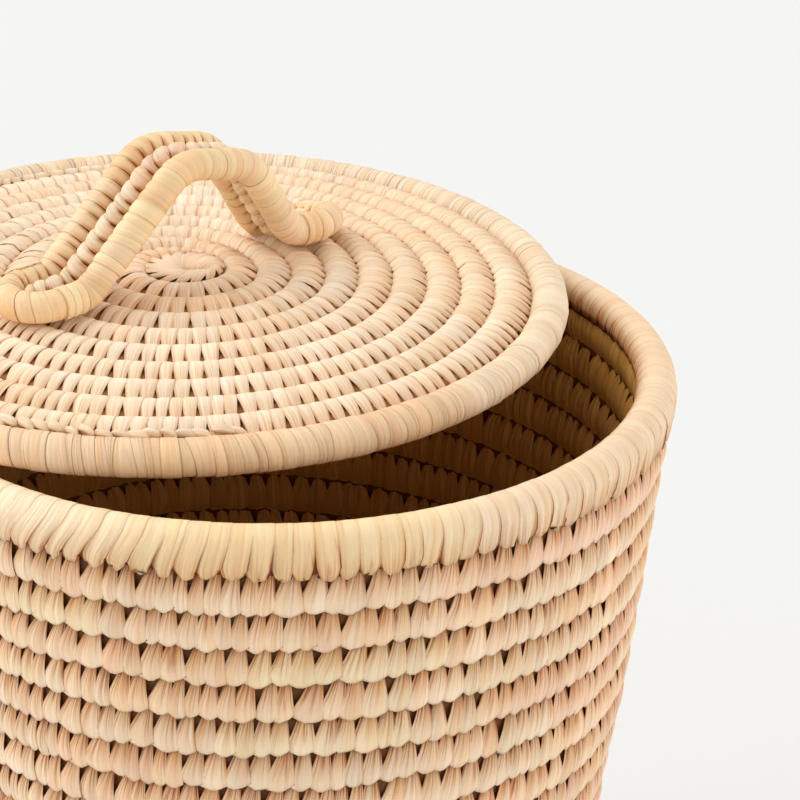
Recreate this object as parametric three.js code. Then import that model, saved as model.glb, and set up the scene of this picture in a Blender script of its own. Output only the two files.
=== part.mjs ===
// A lidded waste bin of coiled palm leaf. A grass bundle is wound into a spiral for the base and the lid
// and into a helix for the wall, and each round is sewn to the one before. Thicker wrapped bundles finish
// the rim and the lid's edge, and a strap handle of three strands is sewn on the lid. Millimetres, +Z up,
// origin in the middle of the underside. X runs along the handle, and the lid lies level on the rim, slid
// back along +Y and a little to the left.
import * as THREE from 'three';

// Driving sizes of the bin
const RIM_OUTSIDE_RADIUS = 125;
const RIM_WIDTH = 13;
const RIM_HEIGHT = 14;
const WALL_COURSES = 20;
const COURSE_PITCH = 12.5;
const WALL_THICKNESS = 9.5;
const WALL_SETBACK = 2.5;
const WALL_LEAN = THREE.MathUtils.degToRad(7.4);
const BASE_TURNS = 7;
const BASE_THICKNESS = 10;
const BASE_KNOT_RADIUS = 9;

// Driving sizes of the lid
const LID_RADIUS = 125;
const LID_TURNS = 9;
const LID_THICKNESS = 9;
const LID_DOME = 7;
const LID_KNOT_RADIUS = 12;
const LID_KNOT_OFF_CENTRE = 4.5;
const LID_EDGE_DIAMETER = 12;
const LID_SLID_BACK = 45.5;
const LID_SLID_LEFT = 4.5;

// Driving sizes of the handle: a leaning arch between two flat feet
const HANDLE_SPAN = 80;
const HANDLE_OFFSET = -1;
const HANDLE_STRAND_DIAMETER = 10.8;
const HANDLE_CENTRE_DIAMETER = 8.6;
const HANDLE_FOOT_LENGTH = 11;
const LEFT_SHOULDER_RUN = 37;
const LEFT_SHOULDER_RISE = 33.5;
const RIGHT_SHOULDER_RUN = 16.5;
const RIGHT_SHOULDER_RISE = 27.5;
const BEND_RADIUS = 9;
const SHOULDER_RADIUS = 15;
const LASHING_LENGTH = 9;
const LASHING_THICKNESS = 0.9;

// Leaf wrapping, and the clearances between sewn pieces
const WRAP_THICKNESS = 1.2;
const WRAP_SLOT = THREE.MathUtils.degToRad(40);
const COIL_GAP = 0.5;
const SEAT_GAP = 0.3;

// Facets
const BASE_STEPS = 16;
const COIL_STEPS = 20;
const RING_STEPS = 40;
const BLUNT_END = 0.1;
const SECTION_CHAMFER = 0.3;
const WRAP_OUTLINE_SIDES = 7;
const CORE_SIDES = 6;
const STRAND_SIDES = 8;
const BEND_STEPS = 5;
const FOOT_END_STEPS = 6;
const LASHING_SEGMENTS = 4;

// Sizes that follow from the driving ones
const wallSlope = WALL_COURSES * COURSE_PITCH;
const wallBottom = BASE_THICKNESS + SEAT_GAP;
const wallTop = wallBottom + wallSlope * Math.cos(WALL_LEAN);
const wallTopRadius = RIM_OUTSIDE_RADIUS - WALL_SETBACK - WALL_THICKNESS / 2;
const wallBottomRadius = wallTopRadius - wallSlope * Math.sin(WALL_LEAN);
const baseRadius = wallBottomRadius + WALL_THICKNESS / 2;
const rimRadius = RIM_OUTSIDE_RADIUS - RIM_WIDTH / 2;
const rimLevel = wallTop + SEAT_GAP + RIM_HEIGHT / 2;
const lidLevel = rimLevel + RIM_HEIGHT / 2 + SEAT_GAP + LID_EDGE_DIAMETER / 2;
const lidEdgeRadius = LID_RADIUS - LID_EDGE_DIAMETER / 2;
const lidDiscRadius = LID_RADIUS - LID_EDGE_DIAMETER - SEAT_GAP;
const handleHalfWidth = (HANDLE_STRAND_DIAMETER + HANDLE_CENTRE_DIAMETER) / 2 + SEAT_GAP;

const lidCrown = (radius) => LID_DOME * (1 - (radius / LID_RADIUS) ** 2);
const lidTop = (radius) => lidCrown(radius) + LID_THICKNESS / 2;

// Materials: pale dry leaf, darker grass inside
function leaf(colour) {
  return new THREE.MeshStandardMaterial({ color: colour, roughness: 0.62, metalness: 0 });
}
const PALE_LEAF = 0xe3c79c;
const SUNNED_LEAF = 0xdcb98c;
const CREAM_LEAF = 0xe8cfa4;
const DRY_GRASS = 0xa98656;

// A closed surface from points and triangles, with its faces turned outwards
function closedSurface(points, faces) {
  let sixVolumes = 0;
  const normal = new THREE.Vector3();
  for (let i = 0; i < faces.length; i += 3) {
    normal.crossVectors(points[faces[i + 1]], points[faces[i + 2]]);
    sixVolumes += points[faces[i]].dot(normal);
  }
  const outward = sixVolumes > 0 ? faces : faces.slice().reverse();
  const geometry = new THREE.BufferGeometry().setFromPoints(points);
  geometry.setIndex(outward);
  geometry.computeVertexNormals();
  return geometry;
}

// Joins rings of points into a tube. A closed route has no ends, and an open one gets flat ends.
function tubeThrough(rings, isClosed) {
  const sides = rings[0].length;
  const spans = isClosed ? rings.length : rings.length - 1;
  const faces = [];
  for (let ring = 0; ring < spans; ring++) {
    const here = ring * sides;
    const next = ((ring + 1) % rings.length) * sides;
    for (let side = 0; side < sides; side++) {
      const after = (side + 1) % sides;
      faces.push(here + side, here + after, next + after);
      faces.push(here + side, next + after, next + side);
    }
  }
  if (!isClosed) {
    const end = (rings.length - 1) * sides;
    for (let side = 1; side < sides - 1; side++) {
      faces.push(0, side + 1, side);
      faces.push(end, end + side, end + side + 1);
    }
  }
  return closedSurface(rings.flat(), faces);
}

// One unbroken coil that climbs one pitch a turn between two level edges, so that its first and last turns
// taper. place turns (distance across the turns, distance through the coil, angle) into a point.
function windCoil(turns, pitch, thickness, steps, place) {
  const rings = [];
  const blunt = Math.round(steps * BLUNT_END);
  for (let step = blunt; step <= (turns + 1) * steps - blunt; step++) {
    const turn = step / steps;
    const low = pitch * Math.max(turn - 1, 0) + COIL_GAP / 2;
    const high = pitch * Math.min(turn, turns) - COIL_GAP / 2;
    const chamfer = SECTION_CHAMFER * (high - low);
    const half = thickness / 2;
    const section = [
      [low, 0],
      [low + chamfer, -half],
      [high - chamfer, -half],
      [high, 0],
      [high - chamfer, half],
      [low + chamfer, half],
    ];
    rings.push(section.map(([across, through]) => place(across, through, turn * 2 * Math.PI)));
  }
  return rings;
}

// The least distance between corner points one turn apart
function leastGap(rings, steps) {
  let least = Infinity;
  for (let step = 0; step + steps < rings.length; step++) {
    for (const point of rings[step]) {
      for (const other of rings[step + steps]) {
        least = Math.min(least, point.distanceTo(other));
      }
    }
  }
  return least;
}

function polar(radius, angle, level) {
  return new THREE.Vector3(radius * Math.cos(angle), radius * Math.sin(angle), level);
}

// A part of the model under its own name
function piece(name, geometry, material) {
  const mesh = new THREE.Mesh(geometry, material);
  mesh.name = name;
  return mesh;
}

function coilPiece(name, rings, steps, material) {
  console.log(`${name}: least gap between turns ${leastGap(rings, steps).toFixed(2)} mm`);
  return piece(name, tubeThrough(rings, false), material);
}

// The wrapped start of a spiral: a low round button with a flat underside
function knot(name, radius, thickness, offCentre, level, material) {
  const edge = radius - COIL_GAP / 2;
  const flat = edge - SECTION_CHAMFER * thickness / 2;
  const profile = [[0, 0], [flat, 0], [edge, thickness / 2], [flat, thickness], [0, thickness]];
  const outline = profile.map(([across, up]) => new THREE.Vector2(across, up));
  const geometry = new THREE.LatheGeometry(outline, COIL_STEPS);
  geometry.rotateX(Math.PI / 2);
  geometry.translate(offCentre, 0, level);
  return piece(name, geometry, material);
}

// The outline of a wrapping with an open slot, and of the core that it holds, in (outward, up)
function wrapOutline(width, height, slotAngle) {
  const outside = [];
  const inside = [];
  for (let side = 0; side < WRAP_OUTLINE_SIDES; side++) {
    const sweep = 2 * Math.PI - WRAP_SLOT;
    const angle = slotAngle + WRAP_SLOT / 2 + sweep * side / (WRAP_OUTLINE_SIDES - 1);
    const out = Math.cos(angle);
    const up = Math.sin(angle);
    outside.push([out * width / 2, up * height / 2]);
    inside.unshift([out * (width / 2 - WRAP_THICKNESS), up * (height / 2 - WRAP_THICKNESS)]);
  }
  return [...outside, ...inside];
}

// The core stays clear of the flats of the wrapping's inside
function coreOutline(width, height) {
  const flatShare = Math.cos((2 * Math.PI - WRAP_SLOT) / (WRAP_OUTLINE_SIDES - 1) / 2);
  const halfWidth = (width / 2 - WRAP_THICKNESS) * flatShare - SEAT_GAP;
  const halfHeight = (height / 2 - WRAP_THICKNESS) * flatShare - SEAT_GAP;
  const outline = [];
  for (let side = 0; side < CORE_SIDES; side++) {
    const angle = 2 * Math.PI * side / CORE_SIDES;
    outline.push([halfWidth * Math.cos(angle), halfHeight * Math.sin(angle)]);
  }
  return outline;
}

// Carries an outline along a route of stations, each with its centre, outward side and upward normal
function sweepOutline(route, outline, isClosed) {
  const rings = route.map(({ centre, side, normal }) => outline.map(([out, up]) =>
    centre.clone().addScaledVector(side, out).addScaledVector(normal, up)));
  return tubeThrough(rings, isClosed);
}

function ringRoute(radius, level) {
  const route = [];
  for (let step = 0; step < RING_STEPS; step++) {
    const angle = 2 * Math.PI * step / RING_STEPS;
    route.push({
      centre: polar(radius, angle, level),
      side: polar(1, angle, 0),
      normal: new THREE.Vector3(0, 0, 1),
    });
  }
  return route;
}

// The bin
function makeBin() {
  const bin = new THREE.Group();

  const basePitch = (baseRadius - BASE_KNOT_RADIUS) / BASE_TURNS;
  const baseRings = windCoil(BASE_TURNS, basePitch, BASE_THICKNESS, BASE_STEPS, (across, through, angle) =>
    polar(BASE_KNOT_RADIUS + across, angle, BASE_THICKNESS / 2 + through));
  bin.add(knot('base_knot', BASE_KNOT_RADIUS, BASE_THICKNESS, 0, 0, leaf(SUNNED_LEAF)));
  bin.add(coilPiece('base_coil', baseRings, BASE_STEPS, leaf(SUNNED_LEAF)));

  const onWall = (across, through, angle) => polar(
    wallBottomRadius + across * Math.sin(WALL_LEAN) + through * Math.cos(WALL_LEAN),
    angle,
    wallBottom + across * Math.cos(WALL_LEAN) - through * Math.sin(WALL_LEAN),
  );
  const wallRings = windCoil(WALL_COURSES, COURSE_PITCH, WALL_THICKNESS, COIL_STEPS, onWall);
  bin.add(coilPiece('wall_coil', wallRings, COIL_STEPS, leaf(PALE_LEAF)));

  const rim = ringRoute(rimRadius, rimLevel);
  bin.add(piece('rim_core', sweepOutline(rim, coreOutline(RIM_WIDTH, RIM_HEIGHT), true), leaf(DRY_GRASS)));
  const openBelow = wrapOutline(RIM_WIDTH, RIM_HEIGHT, -Math.PI / 2);
  bin.add(piece('rim_wrap', sweepOutline(rim, openBelow, true), leaf(CREAM_LEAF)));
  return bin;
}

// A corner route in the plane of the arch, rounded at each inner corner
function roundedRoute(corners) {
  const points = [corners[0].at];
  for (let i = 1; i < corners.length - 1; i++) {
    const { at, radius } = corners[i];
    const before = corners[i - 1].at.clone().sub(at).normalize();
    const after = corners[i + 1].at.clone().sub(at).normalize();
    const halfAngle = before.angleTo(after) / 2;
    const reach = radius / Math.tan(halfAngle);
    const start = at.clone().addScaledVector(before, reach);
    const end = at.clone().addScaledVector(after, reach);
    const bend = new THREE.QuadraticBezierCurve(start, at, end);
    points.push(...bend.getPoints(BEND_STEPS));
  }
  points.push(corners[corners.length - 1].at);
  return points;
}

// The middle line of the handle, from the left foot to the right one, resting on the domed lid
function handleMidline() {
  const seat = HANDLE_STRAND_DIAMETER / 2 + SEAT_GAP;
  const leftBend = HANDLE_OFFSET - HANDLE_SPAN / 2;
  const rightBend = HANDLE_OFFSET + HANDLE_SPAN / 2;
  const onLid = (x) => new THREE.Vector2(x, lidTop(x) + seat);
  const above = (x, rise) => new THREE.Vector2(x, lidTop(leftBend) + seat + rise);
  return roundedRoute([
    { at: onLid(leftBend - HANDLE_FOOT_LENGTH) },
    { at: onLid(leftBend), radius: BEND_RADIUS },
    { at: above(leftBend + LEFT_SHOULDER_RUN, LEFT_SHOULDER_RISE), radius: SHOULDER_RADIUS },
    { at: above(rightBend - RIGHT_SHOULDER_RUN, RIGHT_SHOULDER_RISE), radius: SHOULDER_RADIUS },
    { at: onLid(rightBend), radius: BEND_RADIUS },
    { at: onLid(rightBend + HANDLE_FOOT_LENGTH) },
  ]);
}

// Stations along the middle line, offset to one side of it
function strandRoute(midline, offset) {
  const sideways = new THREE.Vector3(0, Math.sign(offset) || 1, 0);
  return midline.map((point, i) => {
    const before = midline[Math.max(i - 1, 0)];
    const after = midline[Math.min(i + 1, midline.length - 1)];
    const along = after.clone().sub(before).normalize();
    return {
      centre: new THREE.Vector3(point.x, offset, point.y),
      side: sideways,
      normal: new THREE.Vector3(-along.y, 0, along.x),
    };
  });
}

// The round end of the loop at one foot, turning from one strand to the other
function footEndRoute(tip, slope, direction) {
  const route = [];
  for (let step = 1; step < FOOT_END_STEPS; step++) {
    const turn = -Math.PI / 2 + Math.PI * step / FOOT_END_STEPS;
    const along = direction * Math.cos(turn);
    const across = direction * Math.sin(turn);
    const lengthwise = new THREE.Vector3(slope.x, 0, slope.y);
    const side = lengthwise.clone().multiplyScalar(along).setY(across);
    const centre = new THREE.Vector3(tip.x, 0, tip.y).addScaledVector(side, handleHalfWidth);
    route.push({ centre, side, normal: new THREE.Vector3(-slope.y, 0, slope.x) });
  }
  return route;
}

// One loop: the front strand to the right, round the right foot, the rear strand back, round the left foot
function loopRoute(midline) {
  const last = midline.length - 1;
  const leftSlope = midline[1].clone().sub(midline[0]).normalize();
  const rightSlope = midline[last].clone().sub(midline[last - 1]).normalize();
  return [
    ...strandRoute(midline, -handleHalfWidth),
    ...footEndRoute(midline[last], rightSlope, 1),
    ...strandRoute(midline, handleHalfWidth).reverse(),
    ...footEndRoute(midline[0], leftSlope, -1),
  ];
}

function roundOutline(diameter) {
  const outline = [];
  for (let side = 0; side < STRAND_SIDES; side++) {
    const angle = 2 * Math.PI * (side + 0.5) / STRAND_SIDES;
    outline.push([diameter / 2 * Math.cos(angle), diameter / 2 * Math.sin(angle)]);
  }
  return outline;
}

// A strip that comes up out of the lid and hugs the outer side of a foot
function footLashing(name, foot, bend, frontOrRear) {
  const inner = HANDLE_STRAND_DIAMETER / 2 + SEAT_GAP;
  const outer = inner + LASHING_THICKNESS;
  const lowest = -Math.PI / 4;
  const highest = Math.PI / 3;
  const outline = new THREE.Shape();
  outline.absarc(0, 0, outer, lowest, highest, false);
  outline.absarc(0, 0, inner, highest, lowest, true);
  const alongFoot = { depth: LASHING_LENGTH, bevelEnabled: false, curveSegments: LASHING_SEGMENTS };
  const strip = new THREE.ExtrudeGeometry(outline, alongFoot);
  strip.translate(0, 0, -LASHING_LENGTH / 2);
  const along = new THREE.Vector3(bend.x - foot.x, 0, bend.y - foot.y).normalize();
  const outward = new THREE.Vector3(0, frontOrRear, 0);
  const up = new THREE.Vector3(-along.z, 0, along.x).multiplyScalar(Math.sign(along.x));
  const basis = new THREE.Matrix4().makeBasis(outward, up, outward.clone().cross(up));
  strip.applyMatrix4(basis);
  const middle = foot.clone().add(bend).divideScalar(2);
  strip.translate(middle.x, frontOrRear * handleHalfWidth, middle.y);
  return piece(name, strip, leaf(CREAM_LEAF));
}

// The distance from the middle of the lid's knot to the outside of its last round, in one direction
function lidReach(angle) {
  const aside = LID_KNOT_OFF_CENTRE * Math.sin(angle);
  return Math.sqrt(lidDiscRadius ** 2 - aside ** 2) - LID_KNOT_OFF_CENTRE * Math.cos(angle);
}

// The lid, in its own group with its edge's middle at level 0. Its knot is off centre, so that the rounds
// of its spiral are a little narrower on the knot's side.
function makeLid() {
  const lid = new THREE.Group();

  const lidPitch = (lidDiscRadius - LID_KNOT_RADIUS) / LID_TURNS;
  const lidRings = windCoil(LID_TURNS, lidPitch, LID_THICKNESS, COIL_STEPS, (across, through, angle) => {
    const stretch = (lidReach(angle) - LID_KNOT_RADIUS) / (lidDiscRadius - LID_KNOT_RADIUS);
    const point = polar(LID_KNOT_RADIUS + across * stretch, angle, 0);
    point.x += LID_KNOT_OFF_CENTRE;
    point.z = lidCrown(Math.hypot(point.x, point.y)) + through;
    return point;
  });
  const knotLevel = lidCrown(LID_KNOT_RADIUS) - LID_THICKNESS / 2;
  const sunned = leaf(SUNNED_LEAF);
  lid.add(knot('lid_knot', LID_KNOT_RADIUS, LID_THICKNESS, LID_KNOT_OFF_CENTRE, knotLevel, sunned));
  lid.add(coilPiece('lid_coil', lidRings, COIL_STEPS, leaf(PALE_LEAF)));

  const edge = ringRoute(lidEdgeRadius, 0);
  const edgeCore = coreOutline(LID_EDGE_DIAMETER, LID_EDGE_DIAMETER);
  const openInwards = wrapOutline(LID_EDGE_DIAMETER, LID_EDGE_DIAMETER, Math.PI);
  lid.add(piece('lid_edge_core', sweepOutline(edge, edgeCore, true), leaf(DRY_GRASS)));
  lid.add(piece('lid_edge_wrap', sweepOutline(edge, openInwards, true), leaf(CREAM_LEAF)));

  const midline = handleMidline();
  const loop = loopRoute(midline);
  const loopCore = coreOutline(HANDLE_STRAND_DIAMETER, HANDLE_STRAND_DIAMETER);
  const loopWrap = wrapOutline(HANDLE_STRAND_DIAMETER, HANDLE_STRAND_DIAMETER, Math.PI);
  lid.add(piece('handle_loop_core', sweepOutline(loop, loopCore, true), leaf(DRY_GRASS)));
  lid.add(piece('handle_loop_wrap', sweepOutline(loop, loopWrap, true), leaf(CREAM_LEAF)));
  const centreStrand = sweepOutline(strandRoute(midline, 0), roundOutline(HANDLE_CENTRE_DIAMETER), false);
  lid.add(piece('handle_centre_strand', centreStrand, leaf(PALE_LEAF)));

  const last = midline.length - 1;
  lid.add(footLashing('foot_lashing_left_front', midline[0], midline[1], -1));
  lid.add(footLashing('foot_lashing_left_rear', midline[0], midline[1], 1));
  lid.add(footLashing('foot_lashing_right_front', midline[last], midline[last - 1], -1));
  lid.add(footLashing('foot_lashing_right_rear', midline[last], midline[last - 1], 1));
  return lid;
}

const wasteBin = new THREE.Group();
const bin = makeBin();
const lid = makeLid();
lid.position.set(-LID_SLID_LEFT, LID_SLID_BACK, lidLevel);
wasteBin.add(bin, lid);

export default wasteBin;
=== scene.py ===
# %% [markdown]
# Woven waste bin
#
# The bin is coiled basketry: a bundle of dry grass is wound round and round, and strips of palm leaf sew
# each round to the one before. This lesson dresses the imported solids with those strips. Every strip is
# worked out as a small closed surface of points, because the strips, their tips and the dark gaps between
# them are what the eye reads as weaving, and a flat texture would lose them at the outline.

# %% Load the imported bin
import bpy
import numpy as np
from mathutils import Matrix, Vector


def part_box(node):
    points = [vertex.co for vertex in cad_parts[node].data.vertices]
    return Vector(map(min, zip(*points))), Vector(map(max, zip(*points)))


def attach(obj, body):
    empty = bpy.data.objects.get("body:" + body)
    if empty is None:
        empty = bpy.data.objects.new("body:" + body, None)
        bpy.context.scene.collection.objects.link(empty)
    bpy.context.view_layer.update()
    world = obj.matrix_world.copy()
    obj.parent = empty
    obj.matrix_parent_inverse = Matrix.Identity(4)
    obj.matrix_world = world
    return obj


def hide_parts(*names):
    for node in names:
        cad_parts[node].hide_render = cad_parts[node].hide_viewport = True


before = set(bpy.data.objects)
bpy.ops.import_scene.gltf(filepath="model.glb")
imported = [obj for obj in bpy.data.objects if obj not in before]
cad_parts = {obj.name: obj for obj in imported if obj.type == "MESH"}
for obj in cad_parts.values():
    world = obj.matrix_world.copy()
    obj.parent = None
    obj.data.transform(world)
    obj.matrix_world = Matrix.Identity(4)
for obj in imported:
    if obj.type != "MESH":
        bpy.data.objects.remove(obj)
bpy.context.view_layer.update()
chance = np.random.default_rng(11)
MM = 0.001
print("pieces in the frame:", len(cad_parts))

# %% [markdown]
# One mesh maker serves every piece. A strip, a wound strand and a grass bundle are all the same kind of
# mesh: stations along a path, each with a closed ring of points. They could be modelled by hand or with
# curves, but the strips run into thousands, so their rings are worked out and the faces between the rings
# are counted out. Many strips go into one mesh, so the points come as one array of (strips, stations,
# points round the ring, 3).


# %% Faces between rings of points
def smooth(low, high, value):
    """0 below low, 1 above high, and between them the S-curve 3t² - 2t³."""
    part = np.clip((value - low) / (high - low), 0, 1)
    return part * part * (3 - 2 * part)


def stacked(*fields):
    """Fields of any shapes that fit together, spread to one shape and stacked as vectors."""
    return np.stack(np.broadcast_arrays(*fields), axis=-1)


def ring_faces(shape, closed):
    """Quads between neighbouring stations and neighbouring ring points, and a cap on each open end."""
    strips, stations, around = shape
    index = np.arange(strips * stations * around).reshape(shape)
    here = index if closed else index[:, :-1]
    ahead = np.roll(index, -1, axis=1) if closed else index[:, 1:]
    turned = [np.roll(grid, -1, axis=2) for grid in (here, ahead)]
    quads = np.stack([here, turned[0], turned[1], ahead], axis=-1).reshape(-1, 4)
    if closed:
        return quads, np.empty((0, around), int)
    return quads, np.concatenate([index[:, 0, ::-1], index[:, -1]])


def signed_volume(points, quads):
    """Six times the volume inside the quads: the sum of p0 · (p1 × p2) over their two triangles."""
    corner = points[quads]
    first = np.einsum("ij,ij->i", corner[:, 0], np.cross(corner[:, 1], corner[:, 2]))
    second = np.einsum("ij,ij->i", corner[:, 0], np.cross(corner[:, 2], corner[:, 3]))
    return (first + second).sum()


example_quads, example_caps = ring_faces((1, 8, 8), False)
print("a strip of 8 rings of 8 points has", len(example_quads), "quads and", len(example_caps), "caps")

# %% [markdown]
# A piece is a mesh with its faces turned outwards and its finish. It rides on the body that it moves with,
# and stands for the solid that it replaces. Edges along the folds of a leaf are marked sharp, because a
# thin leaf that is shaded round would look swollen. Two vectors ride on every point for the finish to
# read: where it lies on its own leaf, and the tint of that leaf.


# %% Make a piece from rings of points
def sharpen_sides(mesh, around, columns):
    """Marks the lengthwise edges along the given ring columns as sharp, so that a thin leaf isn't shaded
    as if it were round."""
    ends = np.empty(len(mesh.edges) * 2, int)
    mesh.edges.foreach_get("vertices", ends)
    column = ends.reshape(-1, 2) % around
    is_sharp = (column[:, 0] == column[:, 1]) & np.isin(column[:, 0], columns)
    layer = mesh.attributes.new("sharp_edge", "BOOLEAN", "EDGE")
    layer.data.foreach_set("value", is_sharp)


def make_piece(name, points, leaf, tint, finish, body, replaces=(), closed=False, sharp=()):
    """A piece from rings of points in millimetres. Its faces are turned outwards, and it rides on its
    body."""
    flat = points.reshape(-1, 3) * MM
    quads, caps = ring_faces(points.shape[:3], closed)
    if signed_volume(flat, quads) < 0:
        quads, caps = quads[:, ::-1], caps[:, ::-1]
    corners = np.concatenate([quads.ravel(), caps.ravel()])
    sizes = np.concatenate([np.full(len(quads), 4), np.full(len(caps), points.shape[2])])
    mesh = bpy.data.meshes.new(name)
    mesh.vertices.add(len(flat))
    mesh.vertices.foreach_set("co", flat.ravel())
    mesh.loops.add(len(corners))
    mesh.loops.foreach_set("vertex_index", corners)
    mesh.polygons.add(len(sizes))
    mesh.polygons.foreach_set("loop_start", np.concatenate([[0], np.cumsum(sizes)[:-1]]))
    mesh.update(calc_edges=True)
    mesh.shade_smooth()
    sharpen_sides(mesh, points.shape[2], sharp)
    for attribute, values in (("leaf", leaf), ("tint", tint)):
        layer = mesh.attributes.new(attribute, "FLOAT_VECTOR", "POINT")
        spread = np.broadcast_to(values, points.shape).astype(np.float32)
        layer.data.foreach_set("vector", spread.ravel())
    piece = bpy.data.objects.new(name, mesh)
    bpy.context.scene.collection.objects.link(piece)
    mesh.materials.append(finish)
    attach(piece, body)
    if replaces:
        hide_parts(*replaces)
    triangles = len(quads) * 2 + len(caps) * (points.shape[2] - 2)
    print(f"{name}: {points.shape[0]} strips, {triangles} triangles")
    return piece


# %% [markdown]
# A finish is a tree of nodes: each node reads a value or does one sum, and links carry the results on. The
# trees could be drawn in the node editor, but written out here every amount in them has a name. A few
# helpers make the nodes that come up again and again.


# %% Helpers for node trees
def link(tree, source, target):
    """A link from an output socket to an input socket."""
    tree.links.new(source, target)


def math_node(tree, operation, first, second):
    """A Math node whose inputs are sockets or plain numbers."""
    node = tree.nodes.new("ShaderNodeMath")
    node.operation = operation
    for socket, value in zip(node.inputs, (first, second)):
        if isinstance(value, (int, float)):
            socket.default_value = value
        else:
            link(tree, value, socket)
    return node.outputs[0]


def product(tree, first, *others):
    """The product of sockets and plain numbers, the first one a socket."""
    for other in others:
        first = math_node(tree, "MULTIPLY", first, other)
    return first


def rising(tree, value, growth, least):
    """Value times growth, on top of the least."""
    return math_node(tree, "ADD", product(tree, value, growth), least)


def stretched_noise(tree, place, stretch, detail):
    """Noise on the leaf's place vector, scaled by stretch, so that it runs along the strip."""
    scaled = tree.nodes.new("ShaderNodeVectorMath")
    scaled.operation = "MULTIPLY"
    link(tree, place, scaled.inputs[0])
    scaled.inputs[1].default_value = stretch
    noise = tree.nodes.new("ShaderNodeTexNoise")
    noise.inputs["Scale"].default_value = 1
    noise.inputs["Detail"].default_value = detail
    link(tree, scaled.outputs[0], noise.inputs["Vector"])
    return noise.outputs[0]


def mapped(tree, value, low, high):
    """Value from low to high spread over 0 to 1."""
    node = tree.nodes.new("ShaderNodeMapRange")
    node.inputs["From Min"].default_value = low
    node.inputs["From Max"].default_value = high
    link(tree, value, node.inputs["Value"])
    return node.outputs["Result"]


def separated(tree, vector):
    """The three parts of a vector."""
    node = tree.nodes.new("ShaderNodeSeparateXYZ")
    link(tree, vector, node.inputs[0])
    return node.outputs


def attribute_node(tree, name):
    """The vector that rides on every point under the given name."""
    node = tree.nodes.new("ShaderNodeAttribute")
    node.attribute_name = name
    return node.outputs["Vector"]


def blended(tree, mode, factor, first, second):
    """A colour Mix node. The factor and the first colour are sockets, and the second is four numbers. The
    node has sockets of one name for each kind of data, so those for colours are found by their place."""
    node = tree.nodes.new("ShaderNodeMix")
    node.data_type = "RGBA"
    node.blend_type = mode
    link(tree, factor, node.inputs[0])
    link(tree, first, node.inputs[6])
    node.inputs[7].default_value = second
    return node.outputs[2]


# %% [markdown]
# Palm leaf is ribbed along its length and it creases along the ribs when it is pulled tight. The finish
# paints shade in thin lines along the edges of each strip, where it meets the next. These marks are one
# node group, since every leaf finish shares them. The group reads the leaf's own place vector: across the
# strip, along the strip, and a number that differs from strip to strip, so no two strips repeat.

# %% Node group for the ribs, pleats and edges of a leaf
RIB_STRETCH, RIB_DETAIL, RIB_RISE = (5, 0.4, 37), 2, 0.35
PLEAT_STRETCH, PLEAT_DETAIL, PLEAT_RISE = (1.3, 0.22, 23), 1, 3.0
PLEAT_MIDDLE, PLEAT_LIMIT = 0.5, 0.16
CREASE_WIDTH = 0.035
EDGE_FROM, EDGE_FULL = 0.86, 0.98


def leaf_grain_group():
    """Ribs are fine noise. A pleat is how far a broad noise is from its middle value, so its valley is a
    crease. The edge is a thin line down each side of the strip."""
    tree = bpy.data.node_groups.new("leaf_grain", "ShaderNodeTree")
    tree.interface.new_socket("Place", in_out="INPUT", socket_type="NodeSocketVector")
    for name in ("Ribs", "Tone", "Crease", "Height", "Edge"):
        tree.interface.new_socket(name, in_out="OUTPUT", socket_type="NodeSocketFloat")
    place = tree.nodes.new("NodeGroupInput").outputs["Place"]
    outputs = tree.nodes.new("NodeGroupOutput").inputs
    ribs = stretched_noise(tree, place, RIB_STRETCH, RIB_DETAIL)
    broad = stretched_noise(tree, place, PLEAT_STRETCH, PLEAT_DETAIL)
    pleat = math_node(tree, "ABSOLUTE", math_node(tree, "SUBTRACT", broad, PLEAT_MIDDLE), 0)
    crease = mapped(tree, pleat, CREASE_WIDTH, 0)
    raised = product(tree, math_node(tree, "MINIMUM", pleat, PLEAT_LIMIT), PLEAT_RISE)
    height = math_node(tree, "ADD", raised, product(tree, ribs, RIB_RISE))
    from_middle = math_node(tree, "ABSOLUTE", separated(tree, place)[0], 0)
    edge = mapped(tree, from_middle, EDGE_FROM, EDGE_FULL)
    results = dict(Ribs=ribs, Tone=broad, Crease=crease, Height=height, Edge=edge)
    for name, value in results.items():
        link(tree, value, outputs[name])
    return tree


leaf_grain = leaf_grain_group()
print("leaf grain:", len(leaf_grain.nodes), "nodes")

# %% [markdown]
# A leaf finish blends four dried colours by the tint that each strip carries. Then it darkens the hollows
# between ribs, the creases, and the lines along the strip's edges with painted shade, most where the tint
# says that the leaf is pinched. There it also mixes in a brown, which is painted shade together with the
# leaf's browning where the needle bruises it. The sheen is low, because dry leaf is satin and not glossy.

# %% The leaf finish
PINCH_LEAST, PINCH_GROWTH = 0.2, 1.2
HOLLOW_FROM, HOLLOW_FULL, HOLLOW_DEPTH = 0.62, 0.3, 0.8
DIM_FROM, DIM_FULL, DIM_DEPTH = 0.5, 0.25, 0.4
STREAK_LEAST, STREAK_GROWTH = 0.55, 0.7
ROUGHNESS_LEAST, ROUGHNESS_GROWTH = 0.45, 0.25
SHEEN = 0.35
BUMP_STRENGTH = 0.8
MIDDLE_SHADES_AT = (0.33, 0.66)


def painted(red, green, blue):
    """A colour given on the 0 to 255 screen scale, as the linear colour that shaders take."""
    screen = np.array([red, green, blue]) / 255
    linear = np.where(screen <= 0.04045, screen / 12.92, ((screen + 0.055) / 1.055) ** 2.4)
    return (*linear.tolist(), 1.0)


# Painted shade: the brown is mixed in where the leaf is pinched, for shade together with bruised leaf. The
# hollow colour is painted shade in the rib hollows and random tone on the broad pleats, and the crease
# colour is painted shade in the creases and along the edges.
PAINTED_SHADE_BROWN = painted(206, 140, 68)
HOLLOW_SHADE_AND_TONE = painted(240, 200, 148)
CREASE_AND_EDGE_SHADE = painted(178, 112, 50)


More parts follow.
